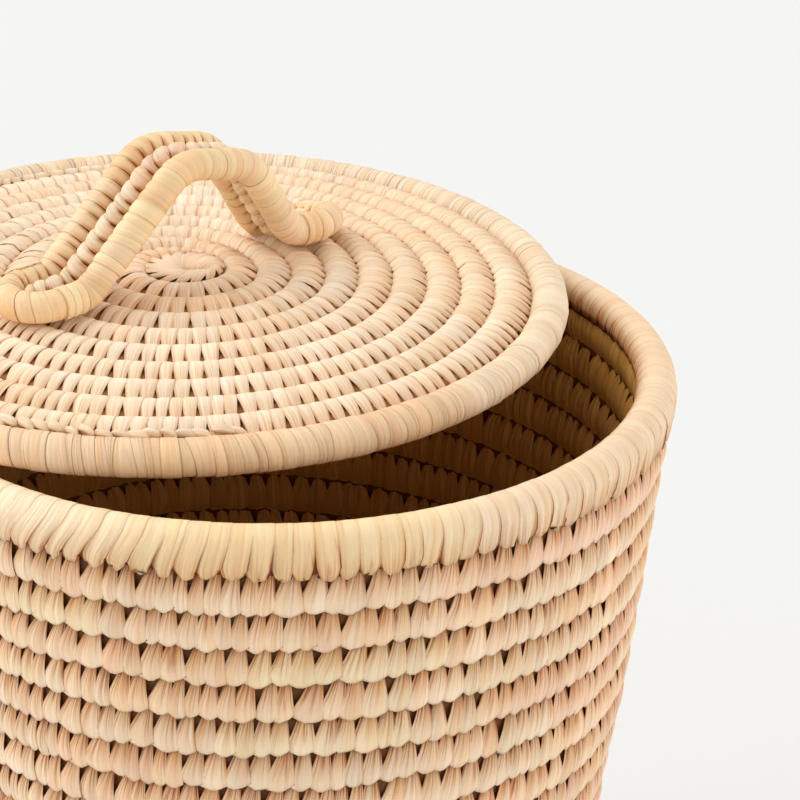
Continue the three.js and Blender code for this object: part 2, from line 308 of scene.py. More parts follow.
def shade_ramp(tree, shade, shades):
    """Four shades blended along 0 to 1."""
    ramp = tree.nodes.new("ShaderNodeValToRGB")
    for position, colour in zip(MIDDLE_SHADES_AT, shades[1:3]):
        ramp.color_ramp.elements.new(position).color = colour
    ramp.color_ramp.elements[0].color = shades[0]
    ramp.color_ramp.elements[3].color = shades[3]
    link(tree, shade, ramp.inputs["Fac"])
    return ramp.outputs["Color"]


def leaf_finish(name, shades, bump_depth, crease_depth, edge_depth):
    """Tint x is lightness, y picks among the four shades, and z is how pinched the leaf is there, which
    brings painted shade and a bruised brown. The painted shade of ribs, creases and the lines along the
    edges is deepest where the leaf is pinched."""
    material = bpy.data.materials.new(name)
    material.use_nodes = True
    tree = material.node_tree
    shader = tree.nodes["Principled BSDF"]
    light, shade, painted_shade_and_bruise = separated(tree, attribute_node(tree, "tint"))
    grain = tree.nodes.new("ShaderNodeGroup")
    grain.node_tree = leaf_grain
    link(tree, attribute_node(tree, "leaf"), grain.inputs["Place"])

    hollows = mapped(tree, grain.outputs["Ribs"], HOLLOW_FROM, HOLLOW_FULL)
    dims = mapped(tree, grain.outputs["Tone"], DIM_FROM, DIM_FULL)
    pinch = rising(tree, painted_shade_and_bruise, PINCH_GROWTH, PINCH_LEAST)
    painted_brown_mix = product(tree, painted_shade_and_bruise, rising(tree, hollows, STREAK_GROWTH, STREAK_LEAST))
    colour = blended(tree, "MIX", painted_brown_mix, shade_ramp(tree, shade, shades), PAINTED_SHADE_BROWN)
    # Painted shade in the rib hollows, the creases and along the edges; the dims are random tone.
    darkenings = (
        (product(tree, hollows, pinch, HOLLOW_DEPTH), HOLLOW_SHADE_AND_TONE),
        (product(tree, dims, DIM_DEPTH), HOLLOW_SHADE_AND_TONE),
        (product(tree, grain.outputs["Crease"], pinch, crease_depth), CREASE_AND_EDGE_SHADE),
        (product(tree, grain.outputs["Edge"], painted_shade_and_bruise, edge_depth), CREASE_AND_EDGE_SHADE),
    )
    for factor, shadow in darkenings:
        colour = blended(tree, "MULTIPLY", factor, colour, shadow)
    bright = tree.nodes.new("ShaderNodeVectorMath")
    bright.operation = "SCALE"
    link(tree, colour, bright.inputs[0])
    link(tree, light, bright.inputs["Scale"])
    link(tree, bright.outputs[0], shader.inputs["Base Color"])
    roughness = rising(tree, grain.outputs["Ribs"], ROUGHNESS_GROWTH, ROUGHNESS_LEAST)
    link(tree, roughness, shader.inputs["Roughness"])
    shader.inputs["Specular IOR Level"].default_value = SHEEN

    bump = tree.nodes.new("ShaderNodeBump")
    bump.inputs["Strength"].default_value = BUMP_STRENGTH
    bump.inputs["Distance"].default_value = bump_depth * MM
    link(tree, grain.outputs["Height"], bump.inputs["Height"])
    link(tree, bump.outputs["Normal"], shader.inputs["Normal"])
    return material


# The brown is painted shade as well as bruised leaf.
print("bruised leaf in linear light:", [round(value, 2) for value in PAINTED_SHADE_BROWN[:3]])

# %% [markdown]
# Palm leaf dries to colours from cream and straw to a pinkish tan, and each part of the bin has its own
# four. The lid is the palest and the wall the pinkest. The leaf inside the bin is painted browner and
# darker than the wall's, as painted shade for the dark inside. The grass bundle comes in two copies: the
# bin's is darker, as painted shade in its gaps, and the lid's is lighter, as painted light where more light
# reaches its gaps. The three numbers after the shades are the depth of the bumps in millimetres, the depth
# of the painted shade in the creases and the depth of the painted shade in the lines along the edges.

# %% The colours of leaf and grass
PALE_CREAM = painted(255, 240, 215)
IVORY = painted(254, 233, 203)
BLUSH = painted(253, 225, 189)
CREAM = painted(254, 230, 196)
BUTTER = painted(254, 228, 181)
SAND = painted(250, 211, 162)
STRAW = painted(254, 232, 192)
TAN = painted(254, 221, 183)
ROSE_TAN = painted(253, 217, 190)
WHEAT = painted(254, 231, 201)
# Amber and honey: the leaf painted browner and darker as painted shade for the inside of the bin.
AMBER = painted(238, 190, 104)
HONEY = painted(228, 176, 90)
# The same grass painted in two copies: lighter for the lid, painted light, and darker for the bin, painted
# shade.
LIGHT_GRASS = painted(140, 88, 44)
DARK_GRASS = painted(112, 66, 20)
wall_leaf = leaf_finish("wall_leaf", (STRAW, WHEAT, TAN, ROSE_TAN), 0.9, 0.9, 0.8)
# Painted shade: the inside leaf is darker and browner than the wall's leaf.
inside_leaf = leaf_finish("inside_leaf", (AMBER, HONEY, AMBER, HONEY), 0.9, 0.6, 0.4)
lid_leaf = leaf_finish("lid_leaf", (PALE_CREAM, IVORY, PALE_CREAM, BLUSH), 0.4, 0.4, 0.4)
rim_leaf = leaf_finish("rim_leaf", (SAND, BUTTER, CREAM, TAN), 0.6, 0.7, 1.7)
edge_leaf = leaf_finish("edge_leaf", (SAND, TAN, CREAM, IVORY), 0.7, 0.9, 1.6)
handle_leaf = leaf_finish("handle_leaf", (BUTTER, SAND, BUTTER, TAN), 0.3, 0.4, 0.8)
# The lid's grass is the lit copy and the bin's grass the shaded copy of one grass.
lid_grass = leaf_finish("lid_grass", (LIGHT_GRASS,) * 4, 0.6, 0.5, 0)
dark_grass = leaf_finish("dark_grass", (DARK_GRASS,) * 4, 0.6, 0.5, 0)
GRASS_TINT = (1, 0.4, 0)
print("finishes:", [material.name for material in bpy.data.materials])

# %% [markdown]
# The coil is one bundle that climbs a round for each turn. Weavers hide the climb: the rounds run level
# along the front and rise where the basket is turned to the wall, so the climb here is done within part of
# each turn, at the back. A round's lower and upper edges follow from how far the bundle has climbed.

# %% How the bundle climbs
CLIMB_SHARE = 0.42
COIL_START = np.radians(-26)


def climbed(turn):
    """Rounds climbed: the whole turns, and a smooth step over the first CLIMB_SHARE of the turn that is
    begun."""
    return np.floor(turn) + smooth(0, CLIMB_SHARE, turn - np.floor(turn))


def round_edges(turn, rounds, height):
    """Distances across the rounds of a round's earlier and later edge. The first and last rounds taper."""
    later = np.clip(climbed(turn), 0, rounds) * height
    earlier = np.clip(climbed(turn) - 1, 0, rounds) * height
    return earlier, later


def polar(radius, angle, level):
    """Points from radius, angle and level."""
    return stacked(radius * np.cos(angle), radius * np.sin(angle), level)


print("a round climbs within", round(360 * CLIMB_SHARE), "degrees of its turn")

# %% [markdown]
# Where the wall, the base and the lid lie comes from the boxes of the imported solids. The other sizes, all
# in millimetres, are the ones that the solids were drawn with: the rim's half width, the thickness of the
# wall, the dome of the lid and so on. Only the wall's slight waist and the stretch of its inside rows are
# added here.

# %% Sizes of the bin and the lid
rim_high = np.array(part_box("rim_wrap")[1]) / MM
lid_low, lid_high = (np.array(corner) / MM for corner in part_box("lid_edge_wrap"))
base_high = np.array(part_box("base_coil")[1]) / MM
SEAT_GAP = 0.3

RIM_RADIUS, RIM_HALF_WIDTH, RIM_HALF_HEIGHT = 118.5, 6.5, 7.0
RIM_LEVEL = rim_high[2] - RIM_HALF_HEIGHT
WALL_ROUNDS, WALL_ROUND_HEIGHT, WALL_THICKNESS = 20, 12.5, 9.5
WALL_LEAN = np.radians(7.4)
WALL_TOP_RADIUS = 117.75
WALL_WAIST, WALL_WAIST_AT, WALL_WAIST_TO = 1.8, 119.0, 165.0
INSIDE_STRETCH = 1.02
WALL_FOOT_RADIUS = WALL_TOP_RADIUS - WALL_ROUNDS * WALL_ROUND_HEIGHT * np.sin(WALL_LEAN)
WALL_FOOT_LEVEL = base_high[2] + SEAT_GAP
BASE_THICKNESS = base_high[2]
BASE_KNOT_RADIUS, BASE_ROUNDS = 9.0, 7
BASE_ROUND_HEIGHT = (WALL_FOOT_RADIUS + WALL_THICKNESS / 2 - BASE_KNOT_RADIUS) / BASE_ROUNDS
LID_MIDDLE = (lid_low + lid_high) / 2
LID_RADIUS = (lid_high[0] - lid_low[0]) / 2
LID_EDGE_HALF = 6.0
LID_THICKNESS, LID_DOME, LID_KNOT_RADIUS, LID_ROUNDS = 9.0, 7.0, 12.0, 9
LID_KNOT_OFF_CENTRE = 4.5
LID_GROOVE_RADIUS = LID_RADIUS - 2 * LID_EDGE_HALF
LID_DISC_RADIUS = LID_GROOVE_RADIUS - SEAT_GAP
LID_ROUND_HEIGHT = (LID_DISC_RADIUS - LID_KNOT_RADIUS) / LID_ROUNDS
print("wall foot radius", round(WALL_FOOT_RADIUS, 1), "lid middle", LID_MIDDLE.round(1))

# %% [markdown]
# Each surface gets a function that turns an angle, a distance across the rounds and a height off the
# bundle's middle into a point. So the same strips can be sewn on the leaning wall, on its inside, on the
# flat base, round the upright side of the base and on the domed lid. A coil is then its rounds, their
# height and thickness, and the surface that it lies on.


# %% Places on the wall, the base and the lid
def wall_radius(across):
    """The radius grows up the slope, but for a slight waist: a dip with the shape of a squared cosine,
    drawn in from the foot and let out again before the top."""
    below = np.clip((WALL_WAIST_AT - across) / WALL_WAIST_AT, 0, 1)
    above = np.clip((across - WALL_WAIST_AT) / (WALL_WAIST_TO - WALL_WAIST_AT), 0, 1)
    waist = WALL_WAIST * np.cos(np.pi / 2 * (below + above)) ** 2
    return WALL_FOOT_RADIUS + across * np.sin(WALL_LEAN) - waist


def on_wall(angle, across, through):
    """The wall leans outwards: radius and level both grow with the distance up the slope."""
    level = WALL_FOOT_LEVEL + across * np.cos(WALL_LEAN) - through * np.sin(WALL_LEAN)
    return polar(wall_radius(across) + through * np.cos(WALL_LEAN), angle, level)


def inside_wall(angle, across, through):
    """The wall's inner face, with its rows stretched a little so that the last one reaches up behind the
    rim."""
    return on_wall(angle, across * INSIDE_STRETCH, through)


def base_radius(across):
    """The distance across the rounds, counted from the knot's edge."""
    return BASE_KNOT_RADIUS + across


def on_base(angle, across, through):
    """The base is flat, and its rounds lie one outside the other."""
    return polar(base_radius(across), angle, BASE_THICKNESS / 2 + through)


def foot_radius(across):
    """The same radius at every height."""
    return np.full_like(across, WALL_FOOT_RADIUS)


def on_foot(angle, across, through):
    """The outer side of the base stands upright under the wall."""
    return polar(foot_radius(across) + through, angle, across)


def lid_radius(across):
    """The distance across the rounds, counted from the knot's edge."""
    return LID_KNOT_RADIUS + across


def lid_crown(radius):
    """The lid's middle surface is a shallow dome that falls from its top with the radius squared."""
    return LID_DOME * (1 - (radius / LID_RADIUS) ** 2)


def on_lid(angle, across, through):
    """The lid's rounds lie on its dome round a knot that is off centre. The reach from the knot to the
    outside of the disc is the chord from an off-centre point, and the rounds are stretched to fill it."""
    aside = LID_KNOT_OFF_CENTRE * np.sin(angle)
    reach = np.sqrt(LID_DISC_RADIUS**2 - aside**2) - LID_KNOT_OFF_CENTRE * np.cos(angle)
    stretch = (reach - LID_KNOT_RADIUS) / (LID_DISC_RADIUS - LID_KNOT_RADIUS)
    flat = polar(LID_KNOT_RADIUS + across * stretch, angle, 0) + [LID_KNOT_OFF_CENTRE, 0, 0]
    rise = lid_crown(np.hypot(flat[..., 0], flat[..., 1])) + through
    return flat + polar(0, 0, rise) + LID_MIDDLE


def make_coil(rounds, height, thickness, place, radius):
    """What the strips need to know of a coil."""
    return dict(rounds=rounds, height=height, thickness=thickness, place=place, radius=radius)


wall_coil = make_coil(WALL_ROUNDS, WALL_ROUND_HEIGHT, WALL_THICKNESS, on_wall, wall_radius)
inside_coil = dict(wall_coil, place=inside_wall)
foot_coil = make_coil(1, BASE_THICKNESS, WALL_THICKNESS, on_foot, foot_radius)
base_coil = make_coil(BASE_ROUNDS, BASE_ROUND_HEIGHT, BASE_THICKNESS, on_base, base_radius)
lid_coil = make_coil(LID_ROUNDS, LID_ROUND_HEIGHT, LID_THICKNESS, on_lid, lid_radius)
print("rounds of the wall, the base and the lid:", WALL_ROUNDS, BASE_ROUNDS, LID_ROUNDS)

# %% [markdown]
# Under the strips lies the grass bundle itself. Only slivers of it show, as the dark corners between the
# necks of the strips, so it is a plain coil with an oval section that stays just below the leaves.

# %% The grass bundle under the strips
BUNDLE_POINTS = np.linspace(0, 2 * np.pi, 14, endpoint=False)
BUNDLE_FULLNESS = 0.6
BUNDLE_STEPS, BUNDLE_CUT_OFF = 48, 0.03
BUNDLE_GRAIN = 8
WALL_BUNDLE_DEPTH, LID_BUNDLE_DEPTH = 1.3, 1.75


def grass_coil(name, coil, leaf_depth, finish, body, replaced):
    """A full oval section, as wide as the round is high and as deep as the coil is thick between its
    leaves, carried along the coil."""
    last = coil["rounds"] + CLIMB_SHARE - BUNDLE_CUT_OFF
    turn = np.arange(BUNDLE_CUT_OFF, last, 1 / BUNDLE_STEPS)
    earlier, later = round_edges(turn, coil["rounds"], coil["height"])
    middle = ((earlier + later) / 2)[:, None]
    half = ((later - earlier) / 2)[:, None]
    angle = 2 * np.pi * turn[:, None] + COIL_START
    lift = np.sin(BUNDLE_POINTS)
    half_depth = coil["thickness"] / 2 - leaf_depth
    depth = half_depth * np.sign(lift) * np.abs(lift) ** BUNDLE_FULLNESS
    points = coil["place"](angle, middle + half * np.cos(BUNDLE_POINTS), depth)
    leaf = stacked(BUNDLE_POINTS, turn[:, None] * BUNDLE_GRAIN, 0)
    return make_piece(name, points[None], leaf[None], GRASS_TINT, finish, body, (replaced,))


grass_coil("wall_bundle", wall_coil, WALL_BUNDLE_DEPTH, dark_grass, "bin", "wall_coil")
grass_coil("base_bundle", base_coil, LID_BUNDLE_DEPTH, dark_grass, "bin", "base_coil")
grass_coil("lid_bundle", lid_coil, LID_BUNDLE_DEPTH, lid_grass, "lid", "lid_coil")

# %% [markdown]
# No two strips are alike. A leaf is split by hand and its strips are used up in turn, so neighbours share
# a colour for a while, and each is cut and pulled a little differently. All the differences come from one
# seeded source of chance, so the bin comes out the same each time. A strip is a grid of columns across and
# stations along, with two more columns for its back.

# %% Small differences from strip to strip
FRONT_COLUMNS, BACK_COLUMNS = np.linspace(-1, 1, 6), np.array([0.55, -0.55])
ACROSS = np.concatenate([FRONT_COLUMNS, BACK_COLUMNS])[None, None, :]
IS_BACK = (np.arange(ACROSS.size) >= len(FRONT_COLUMNS))[None, None, :]
IS_EDGE = np.abs(ACROSS) == 1
ALONG = np.array([0, 0.16, 0.32, 0.48, 0.64, 0.80, 0.93, 1])[None, :, None]
LEAF_SIDES = (0, 5)
LEAF_FOLDS = (0, 2, 3, 5)
LEAF_THICKNESS = 0.55
LEAF_LIGHT = 0.98
RUN_LIGHT_VARIES, LIGHT_VARIES, SHADE_VARIES = 0.05, 0.03, 0.10
GRAIN_NUMBERS = 10


def each(values):
    """One value for each strip, shaped to spread over its stations and ring points."""
    return np.asarray(values)[:, None, None]


def jitter(count, amount):
    """A small even-handed difference for each strip."""
    return each(chance.uniform(-amount, amount, count))


def pleats(count, depth):
    """Heights of the front columns of each strip, each its own, and none on its back: the leaf's long
    pleats."""
    front = chance.uniform(-depth, depth, (count, 1, len(FRONT_COLUMNS)))
    return np.concatenate([front, np.zeros((count, 1, len(BACK_COLUMNS)))], axis=2)


def in_runs(count, shortest, longest):
    """Values from 0 to 1 that stay the same for a run of strips, as when one leaf is split and used up in
    turn."""
    lengths = chance.integers(shortest, longest + 1, count)
    return np.repeat(chance.random(count), lengths)[:count]


def strip_tints(count, painted_shade_and_bruise, variety=1.0):
    """Lightness and shade in runs, with a little difference from strip to strip, and the given painted
    shade and bruised brown.
    """
    run_light = RUN_LIGHT_VARIES * (in_runs(count, 2, 7) - 0.5)
    light = LEAF_LIGHT + variety * (run_light + chance.normal(0, LIGHT_VARIES, count))
    shade = np.clip(in_runs(count, 3, 11) + chance.normal(0, SHADE_VARIES, count), 0, 1)
    return stacked(each(light), each(shade), painted_shade_and_bruise)


def strip_places(count, across, along):
    """The place vector of the grain: across the strip, along it, and a number of the strip's own."""
    return stacked(across, along, each(chance.random(count) * GRAIN_NUMBERS))


print("points in a strip:", ALONG.size * ACROSS.size)

# %% [markdown]
# A sewn strip is pulled to a narrow neck where the needle takes it through, and it spreads to a broad,
# bluntly pointed end where it comes out again. The neck keeps to one side, so one edge of the strip is
# straight and the other sweeps out. Broad ends lie over the necks of the round before, and the dark grass
# shows in the corner beside each neck. The strip is a thin lens in section, bowed over the bundle, and its
# pleats are deepest at the neck and fade towards the broad end.

# %% The shape of a sewn strip
POINT_FROM, POINT_MIDDLE = 0.5, 0.35
SPREAD_POWER = 0.9
WIDTH_VARIES, SIDE_VARIES, PLACE_VARIES = 0.08, 0.3, 0.05
END_FLATNESS, FLATTENING = 0.8, 0.5
PLEATS_FADE = 0.85
CURL_FROM = 0.72
PAINTED_NECK_SHADE_PART = (0.1, 0.85)
INNER_ROUNDS, TAN_AND_SHADE_ROUNDS = (0.2, 0.6), (0.1, 0.5)
# The tan side of a coil is also darkened with painted shade.
TAN_AND_SHADE_WAY, TAN_SIDE_PAINTED_SHADE = np.radians(-10), 0.05


def sewn_strips(name, turn, coil, side, cut, finish, body):
    """Strips over a coil at the given turns.
    Across the rounds a strip runs from its neck beyond the later edge to its broad end at the earlier
    edge. Its half width grows from the neck, mostly to one side, and its end is a blunt V. Its height
    falls from the bundle's crest with the square of the distance across. To that come a crown, which is
    flatter near the end, the pleats, a rise to the edge that lies over the next strip, and a curl at the
    end. The neck gets painted shade with some bruised brown, the edges get painted shade, and the leaf is
    tanner towards one side of the coil, where painted shade also makes it a little darker. side is 1 for
    the outside and -1 for the inside."""
    count = len(turn)
    earlier, later = round_edges(turn, coil["rounds"], coil["height"])
    outwards = later / (coil["rounds"] * coil["height"])
    middle = each((earlier + later) / 2)
    half = each((later - earlier) / 2)
    pitch = 2 * np.pi * coil["radius"](middle) * each(np.gradient(turn))

    ragged = jitter(count, cut["ragged"]) + jitter(count, cut["ragged"]) * ACROSS
    point = cut["scallop"] * (np.abs(ACROSS) - POINT_MIDDLE) + ragged
    reach = cut["neck_at"] + (cut["end_at"] - cut["neck_at"]) * ALONG
    across = reach * half + smooth(POINT_FROM, 1, ALONG) * point
    neck = cut["neck"] + cut["inner_neck"] * each(1 - smooth(*INNER_ROUNDS, outwards))
    spread = neck + (cut["broad"] - neck) * np.clip(ALONG / cut["spread_by"], 0, 1) ** SPREAD_POWER
    half_width = pitch / 2 * spread * (1 + jitter(count, WIDTH_VARIES))
    to_one_side = (cut["one_sided"] + jitter(count, SIDE_VARIES)) * (cut["broad"] - spread) / 2
    sideways = pitch * (to_one_side + jitter(count, PLACE_VARIES)) + half_width * ACROSS
    angle = each(2 * np.pi * turn + COIL_START) + sideways / coil["radius"](middle + across)

    crest = coil["thickness"] / 2 + cut["stand"] - cut["bow"] * (across / half + cut["lift"]) ** 2
    flat = 1 - END_FLATNESS * smooth(cut["flat_by"] - FLATTENING, cut["flat_by"], ALONG)
    crown = cut["crown"] * flat * (1 - ACROSS**2)
    tilted = cut["overlap"] * ACROSS + jitter(count, cut["uneven"])
    pleat = pleats(count, cut["pleat"]) * (1 - PLEATS_FADE * ALONG)
    curl = cut["curl"] * smooth(CURL_FROM, 1, ALONG) ** 2
    height = crest + crown + tilted + pleat - curl - LEAF_THICKNESS * IS_BACK
    points = coil["place"](angle, middle + across, side * height)

    leaf = strip_places(count, ACROSS, ALONG)
    # Painted shade: the neck is darkened for the shade under the round above, with some bruised brown, and
    # the edges for the shade where strips meet.
    painted_shade_and_bruise = cut["painted_shade_and_bruise"] * (1 - smooth(*PAINTED_NECK_SHADE_PART, ALONG)) + cut["edged"] * IS_EDGE
    tint = strip_tints(count, painted_shade_and_bruise)
    # Painted shade towards one side: the leaf there is darkened as well as turned to its tanner shade.
    facing = 0.5 + 0.5 * np.cos(2 * np.pi * turn + COIL_START - TAN_AND_SHADE_WAY)
    tan_and_painted_shade = cut["tan_and_painted_shade"] * each(facing**2 * smooth(*TAN_AND_SHADE_ROUNDS, outwards))
    tint[..., 0] *= 1 - TAN_SIDE_PAINTED_SHADE * tan_and_painted_shade
    tint[..., 1] += tan_and_painted_shade * (1 - tint[..., 1])
    return make_piece(name, points, leaf, tint, finish, body, sharp=cut["sharp"])


print("a strip's leaf is", LEAF_THICKNESS, "mm thick")

# %% [markdown]
# The wall is sewn with broad strips that keep to the right at their necks and hang as a row of blunt
# points over the round below. The inside shows the same stitches from behind: its rows are rounder, with
# wider necks, and the last one reaches up behind the rim. One more row goes round the side of the base. The
# wall's rows are parted into two meshes, so that neither grows too heavy.

# %% Sew the wall
WALL_STITCHES_A_TURN, WALL_STEPS = 124.23, (0.7, 1.3)
WALL_PARTED_AT = 0.52 * WALL_ROUNDS
SEWN_FROM, SEWN_PAST = 0.3 * CLIMB_SHARE, 0.75 * CLIMB_SHARE
# The neck darkening in these cuts is painted shade with some bruised brown, and the edge darkening is
# painted shade.
WALL_CUT = dict(neck_at=1.45, end_at=-1.12, neck=0.28, inner_neck=0, broad=1.3, spread_by=0.74,
                one_sided=0.8, scallop=2.5, ragged=0.8, crown=0.6, flat_by=1, pleat=0.42, overlap=0.09,
                bow=1.1, lift=0.6, stand=0.6, curl=0.2, uneven=0.1, painted_shade_and_bruise=0.85, edged=0.15, tan_and_painted_shade=0,
                sharp=LEAF_FOLDS)
INSIDE_CUT = dict(WALL_CUT, neck=0.46, spread_by=0.4, bow=1.9, lift=-0.25, stand=0.3, one_sided=0.2,
                  ragged=0.3, painted_shade_and_bruise=0.35)
FOOT_CUT = dict(WALL_CUT, end_at=-0.86, scallop=0.6, ragged=0.2)


def uneven_turns(first, last):
    """Turns at which stitches lie from one turn to another, unevenly spaced, as a hand sews them."""
    count = int((last - first) * WALL_STITCHES_A_TURN)
    steps = np.cumsum(chance.uniform(*WALL_STEPS, count))
    return first + (last - first) * steps / steps[-1]


wall_parts = {"lower": (SEWN_FROM, WALL_PARTED_AT), "upper": (WALL_PARTED_AT, WALL_ROUNDS + SEWN_PAST)}
for part, (first, last) in wall_parts.items():
    turn = uneven_turns(first, last)
    sewn_strips("wall_strips_" + part, turn, wall_coil, 1, WALL_CUT, wall_leaf, "bin")
    sewn_strips("wall_strips_inside_" + part, turn, inside_coil, -1, INSIDE_CUT, inside_leaf, "bin")
foot_turns = uneven_turns(SEWN_FROM, 1 + SEWN_PAST)
sewn_strips("base_strips_side", foot_turns, foot_coil, 1, FOOT_CUT, wall_leaf, "bin")

# %% [markdown]
# The lid and the base are spirals. Their stitches keep one width while the rounds grow, so their places
# come from the length of the spiral: the length is added up along the turns, and stitches are set at about
# even steps of it. Near the knot the necks are wider and the gaps smaller, and the leaf of the lid is a
# little tanner at its right rear, and a little darker there with painted shade.

# %% Sew the lid and the base
# The lid's strips get painted shade at their necks and edges, and towards the right rear.
LID_CUT = dict(neck_at=1.25, end_at=-1.06, neck=0.58, inner_neck=0.24, broad=1.18, spread_by=0.6,
               one_sided=0.3, scallop=1.0, ragged=0.35, crown=0.75, flat_by=0.75, pleat=0.15,
               overlap=0.08, bow=2.0, lift=0.25, stand=-0.35, curl=1.3, uneven=0.06, painted_shade_and_bruise=0.3,
               edged=0.35, tan_and_painted_shade=0.9, sharp=LEAF_SIDES)
LID_STITCH_PITCH = 4.5
BASE_STITCH_PITCH = 5.2
SPIRAL_FROM, SPIRAL_PAST = 0.16 * CLIMB_SHARE, 0.8 * CLIMB_SHARE
SPIRAL_SAMPLES, SPIRAL_STEPS = 4000, (0.8, 1.2)


def even_turns(coil, pitch):
    """Turns at about even steps along the spiral: the length up to each turn is summed, and the turn is
    read off at each step of length."""
    turn = np.linspace(SPIRAL_FROM, coil["rounds"] + SPIRAL_PAST, SPIRAL_SAMPLES)
    earlier, later = round_edges(turn, coil["rounds"], coil["height"])
    radius = coil["radius"]((earlier + later) / 2)
    length = np.concatenate([[0], np.cumsum(2 * np.pi * radius[1:] * np.diff(turn))])
    uneven = np.cumsum(pitch * chance.uniform(*SPIRAL_STEPS, int(length[-1] / pitch)))
    return np.interp(uneven, length, turn)


lid_turns = even_turns(lid_coil, LID_STITCH_PITCH)
sewn_strips("lid_strips_top", lid_turns, lid_coil, 1, LID_CUT, lid_leaf, "lid")
sewn_strips("lid_strips_under", lid_turns, lid_coil, -1, LID_CUT, lid_leaf, "lid")
base_turns = even_turns(base_coil, BASE_STITCH_PITCH)
# The base's top lies inside the bin, so it takes the inside leaf with its painted shade.
sewn_strips("base_strips_top", base_turns, base_coil, 1, LID_CUT, inside_leaf, "bin")
sewn_strips("base_strips_under", base_turns, base_coil, -1, LID_CUT, wall_leaf, "bin")

# %% [markdown]
# Each spiral starts as a knot: the bundle's end is bent into a button and wrapped by strips that all go
# through its eye. The strips are laid like the slices of a cake, narrow at the eye and broad outside, bowed
# over the button and swirling a little, on both faces, with a small grass pad between. On one side they
# begin further out, so that they meet the others along a short slit.

# %% The knots in the middle of the lid and the base
KNOT_STRIPS, KNOT_STEPS = 15, (0.85, 1.15)
KNOT_EYE, KNOT_EYE_WAY = 0.55, np.radians(-40)
KNOT_CUT = dict(start=0.01, reach=1.07, broad=1.25, narrowing=0.55, swirl=0.6, crown=0.7, overlap=0.05,
                uneven=0.15, sunk=0.4, fall=1.6, crest_at=0.6)
KNOT_EDGE = (0.65, 1.05)
# Painted shade at the knot's edge and at its eye.
KNOT_EDGE_PAINTED_SHADE, KNOT_EYE_PAINTED_SHADE = 0.4, 0.2
KNOT_GRAIN, KNOT_EYE_GRAIN = 0.8, 0.3
PAD_INSIDE, PAD_UNDER_LEAVES = 0.5, 5.0
PAD_STATIONS, PAD_SIDES, PAD_TIP = 9, 24, 0.02


def knot_face(name, middle, radius, thickness, side, finish, body, replaced):
    """Slices from the middle to just past the knot's edge. The half angle narrows towards the edge, so
    that small dark corners show there. The height falls with the square of the distance from the crest, a
    ring inside the edge. Inner ends are moved towards the eye's side by the cosine of their angle from
    it."""
    count = KNOT_STRIPS
    cut = KNOT_CUT
    out = cut["start"] + cut["reach"] * ALONG
    spacing = np.cumsum(chance.uniform(*KNOT_STEPS, count))
    half_angle = np.pi / count * (cut["broad"] - cut["narrowing"] * smooth(*KNOT_EDGE, out))
    angle = each(2 * np.pi * spacing / spacing[-1]) - cut["swirl"] * out + half_angle * ACROSS
    crown = cut["crown"] * (1 - ACROSS**2) + cut["overlap"] * ACROSS + jitter(count, cut["uneven"])
    fall = cut["fall"] * (out / cut["crest_at"] - 1) ** 2
    height = thickness / 2 - cut["sunk"] - fall + out * crown - LEAF_THICKNESS * IS_BACK
    eye = KNOT_EYE * (1 - out) * np.clip(np.cos(angle - KNOT_EYE_WAY), 0, None)
    points = polar(radius * out, angle, side * height) + polar(radius * eye, KNOT_EYE_WAY, 0) + middle
    leaf_width = KNOT_EYE_GRAIN + (1 - KNOT_EYE_GRAIN) * out
    leaf = strip_places(count, ACROSS * leaf_width, ALONG * KNOT_GRAIN)
    # Painted shade: the slices are darker towards the knot's edge, where dark corners show, and at the eye.
    painted_shade_and_bruise = KNOT_EDGE_PAINTED_SHADE * smooth(0.6, 1, ALONG) + KNOT_EYE_PAINTED_SHADE * (1 - smooth(0, 0.4, ALONG))
    tint = strip_tints(count, painted_shade_and_bruise)
    return make_piece(name, points, leaf, tint, finish, body, (replaced,), sharp=LEAF_SIDES)


def knot_pad(name, middle, knot_radius, knot_thickness, finish, body):
    """A flattened ball: a half circle of stations from pole to pole, squeezed to the pad's thickness."""
    radius = knot_radius - PAD_INSIDE
    half_thickness = (knot_thickness - PAD_UNDER_LEAVES) / 2
    pole = np.linspace(PAD_TIP, np.pi - PAD_TIP, PAD_STATIONS)[:, None]
    turn = np.linspace(0, 2 * np.pi, PAD_SIDES, endpoint=False)[None, :]
    points = polar(radius * np.sin(pole), turn, half_thickness * np.cos(pole)) + middle
    leaf = stacked(turn, pole, 0)
    return make_piece(name, points[None], leaf[None], GRASS_TINT, finish, body)


lid_knot_middle = LID_MIDDLE + [LID_KNOT_OFF_CENTRE, 0, lid_crown(LID_KNOT_RADIUS)]
lid_knot = (lid_knot_middle, LID_KNOT_RADIUS, LID_THICKNESS)
base_knot = (np.array([0, 0, BASE_THICKNESS / 2]), BASE_KNOT_RADIUS, BASE_THICKNESS)
for face, side in (("top", 1), ("under", -1)):
    knot_face("lid_knot_" + face, *lid_knot, side, lid_leaf, "lid", "lid_knot")
    knot_face("base_knot_" + face, *base_knot, side, wall_leaf, "bin", "base_knot")
knot_pad("lid_knot_pad", *lid_knot, lid_grass, "lid")
knot_pad("base_knot_pad", *base_knot, dark_grass, "bin")

# %% [markdown]
# The rim is a thicker bundle wrapped by broad pale strips. Each comes out of the wall on the inside, goes
# over the top, and falls outside, where it ends in a blunt point over the top round of the wall. So the
# path of a strip is a fall, half an oval and a fall. Its tip, its inner end and its edges get painted
# shade, and the leaf is sandy in front and tanner to the right, where painted shade also makes it a
# little darker.

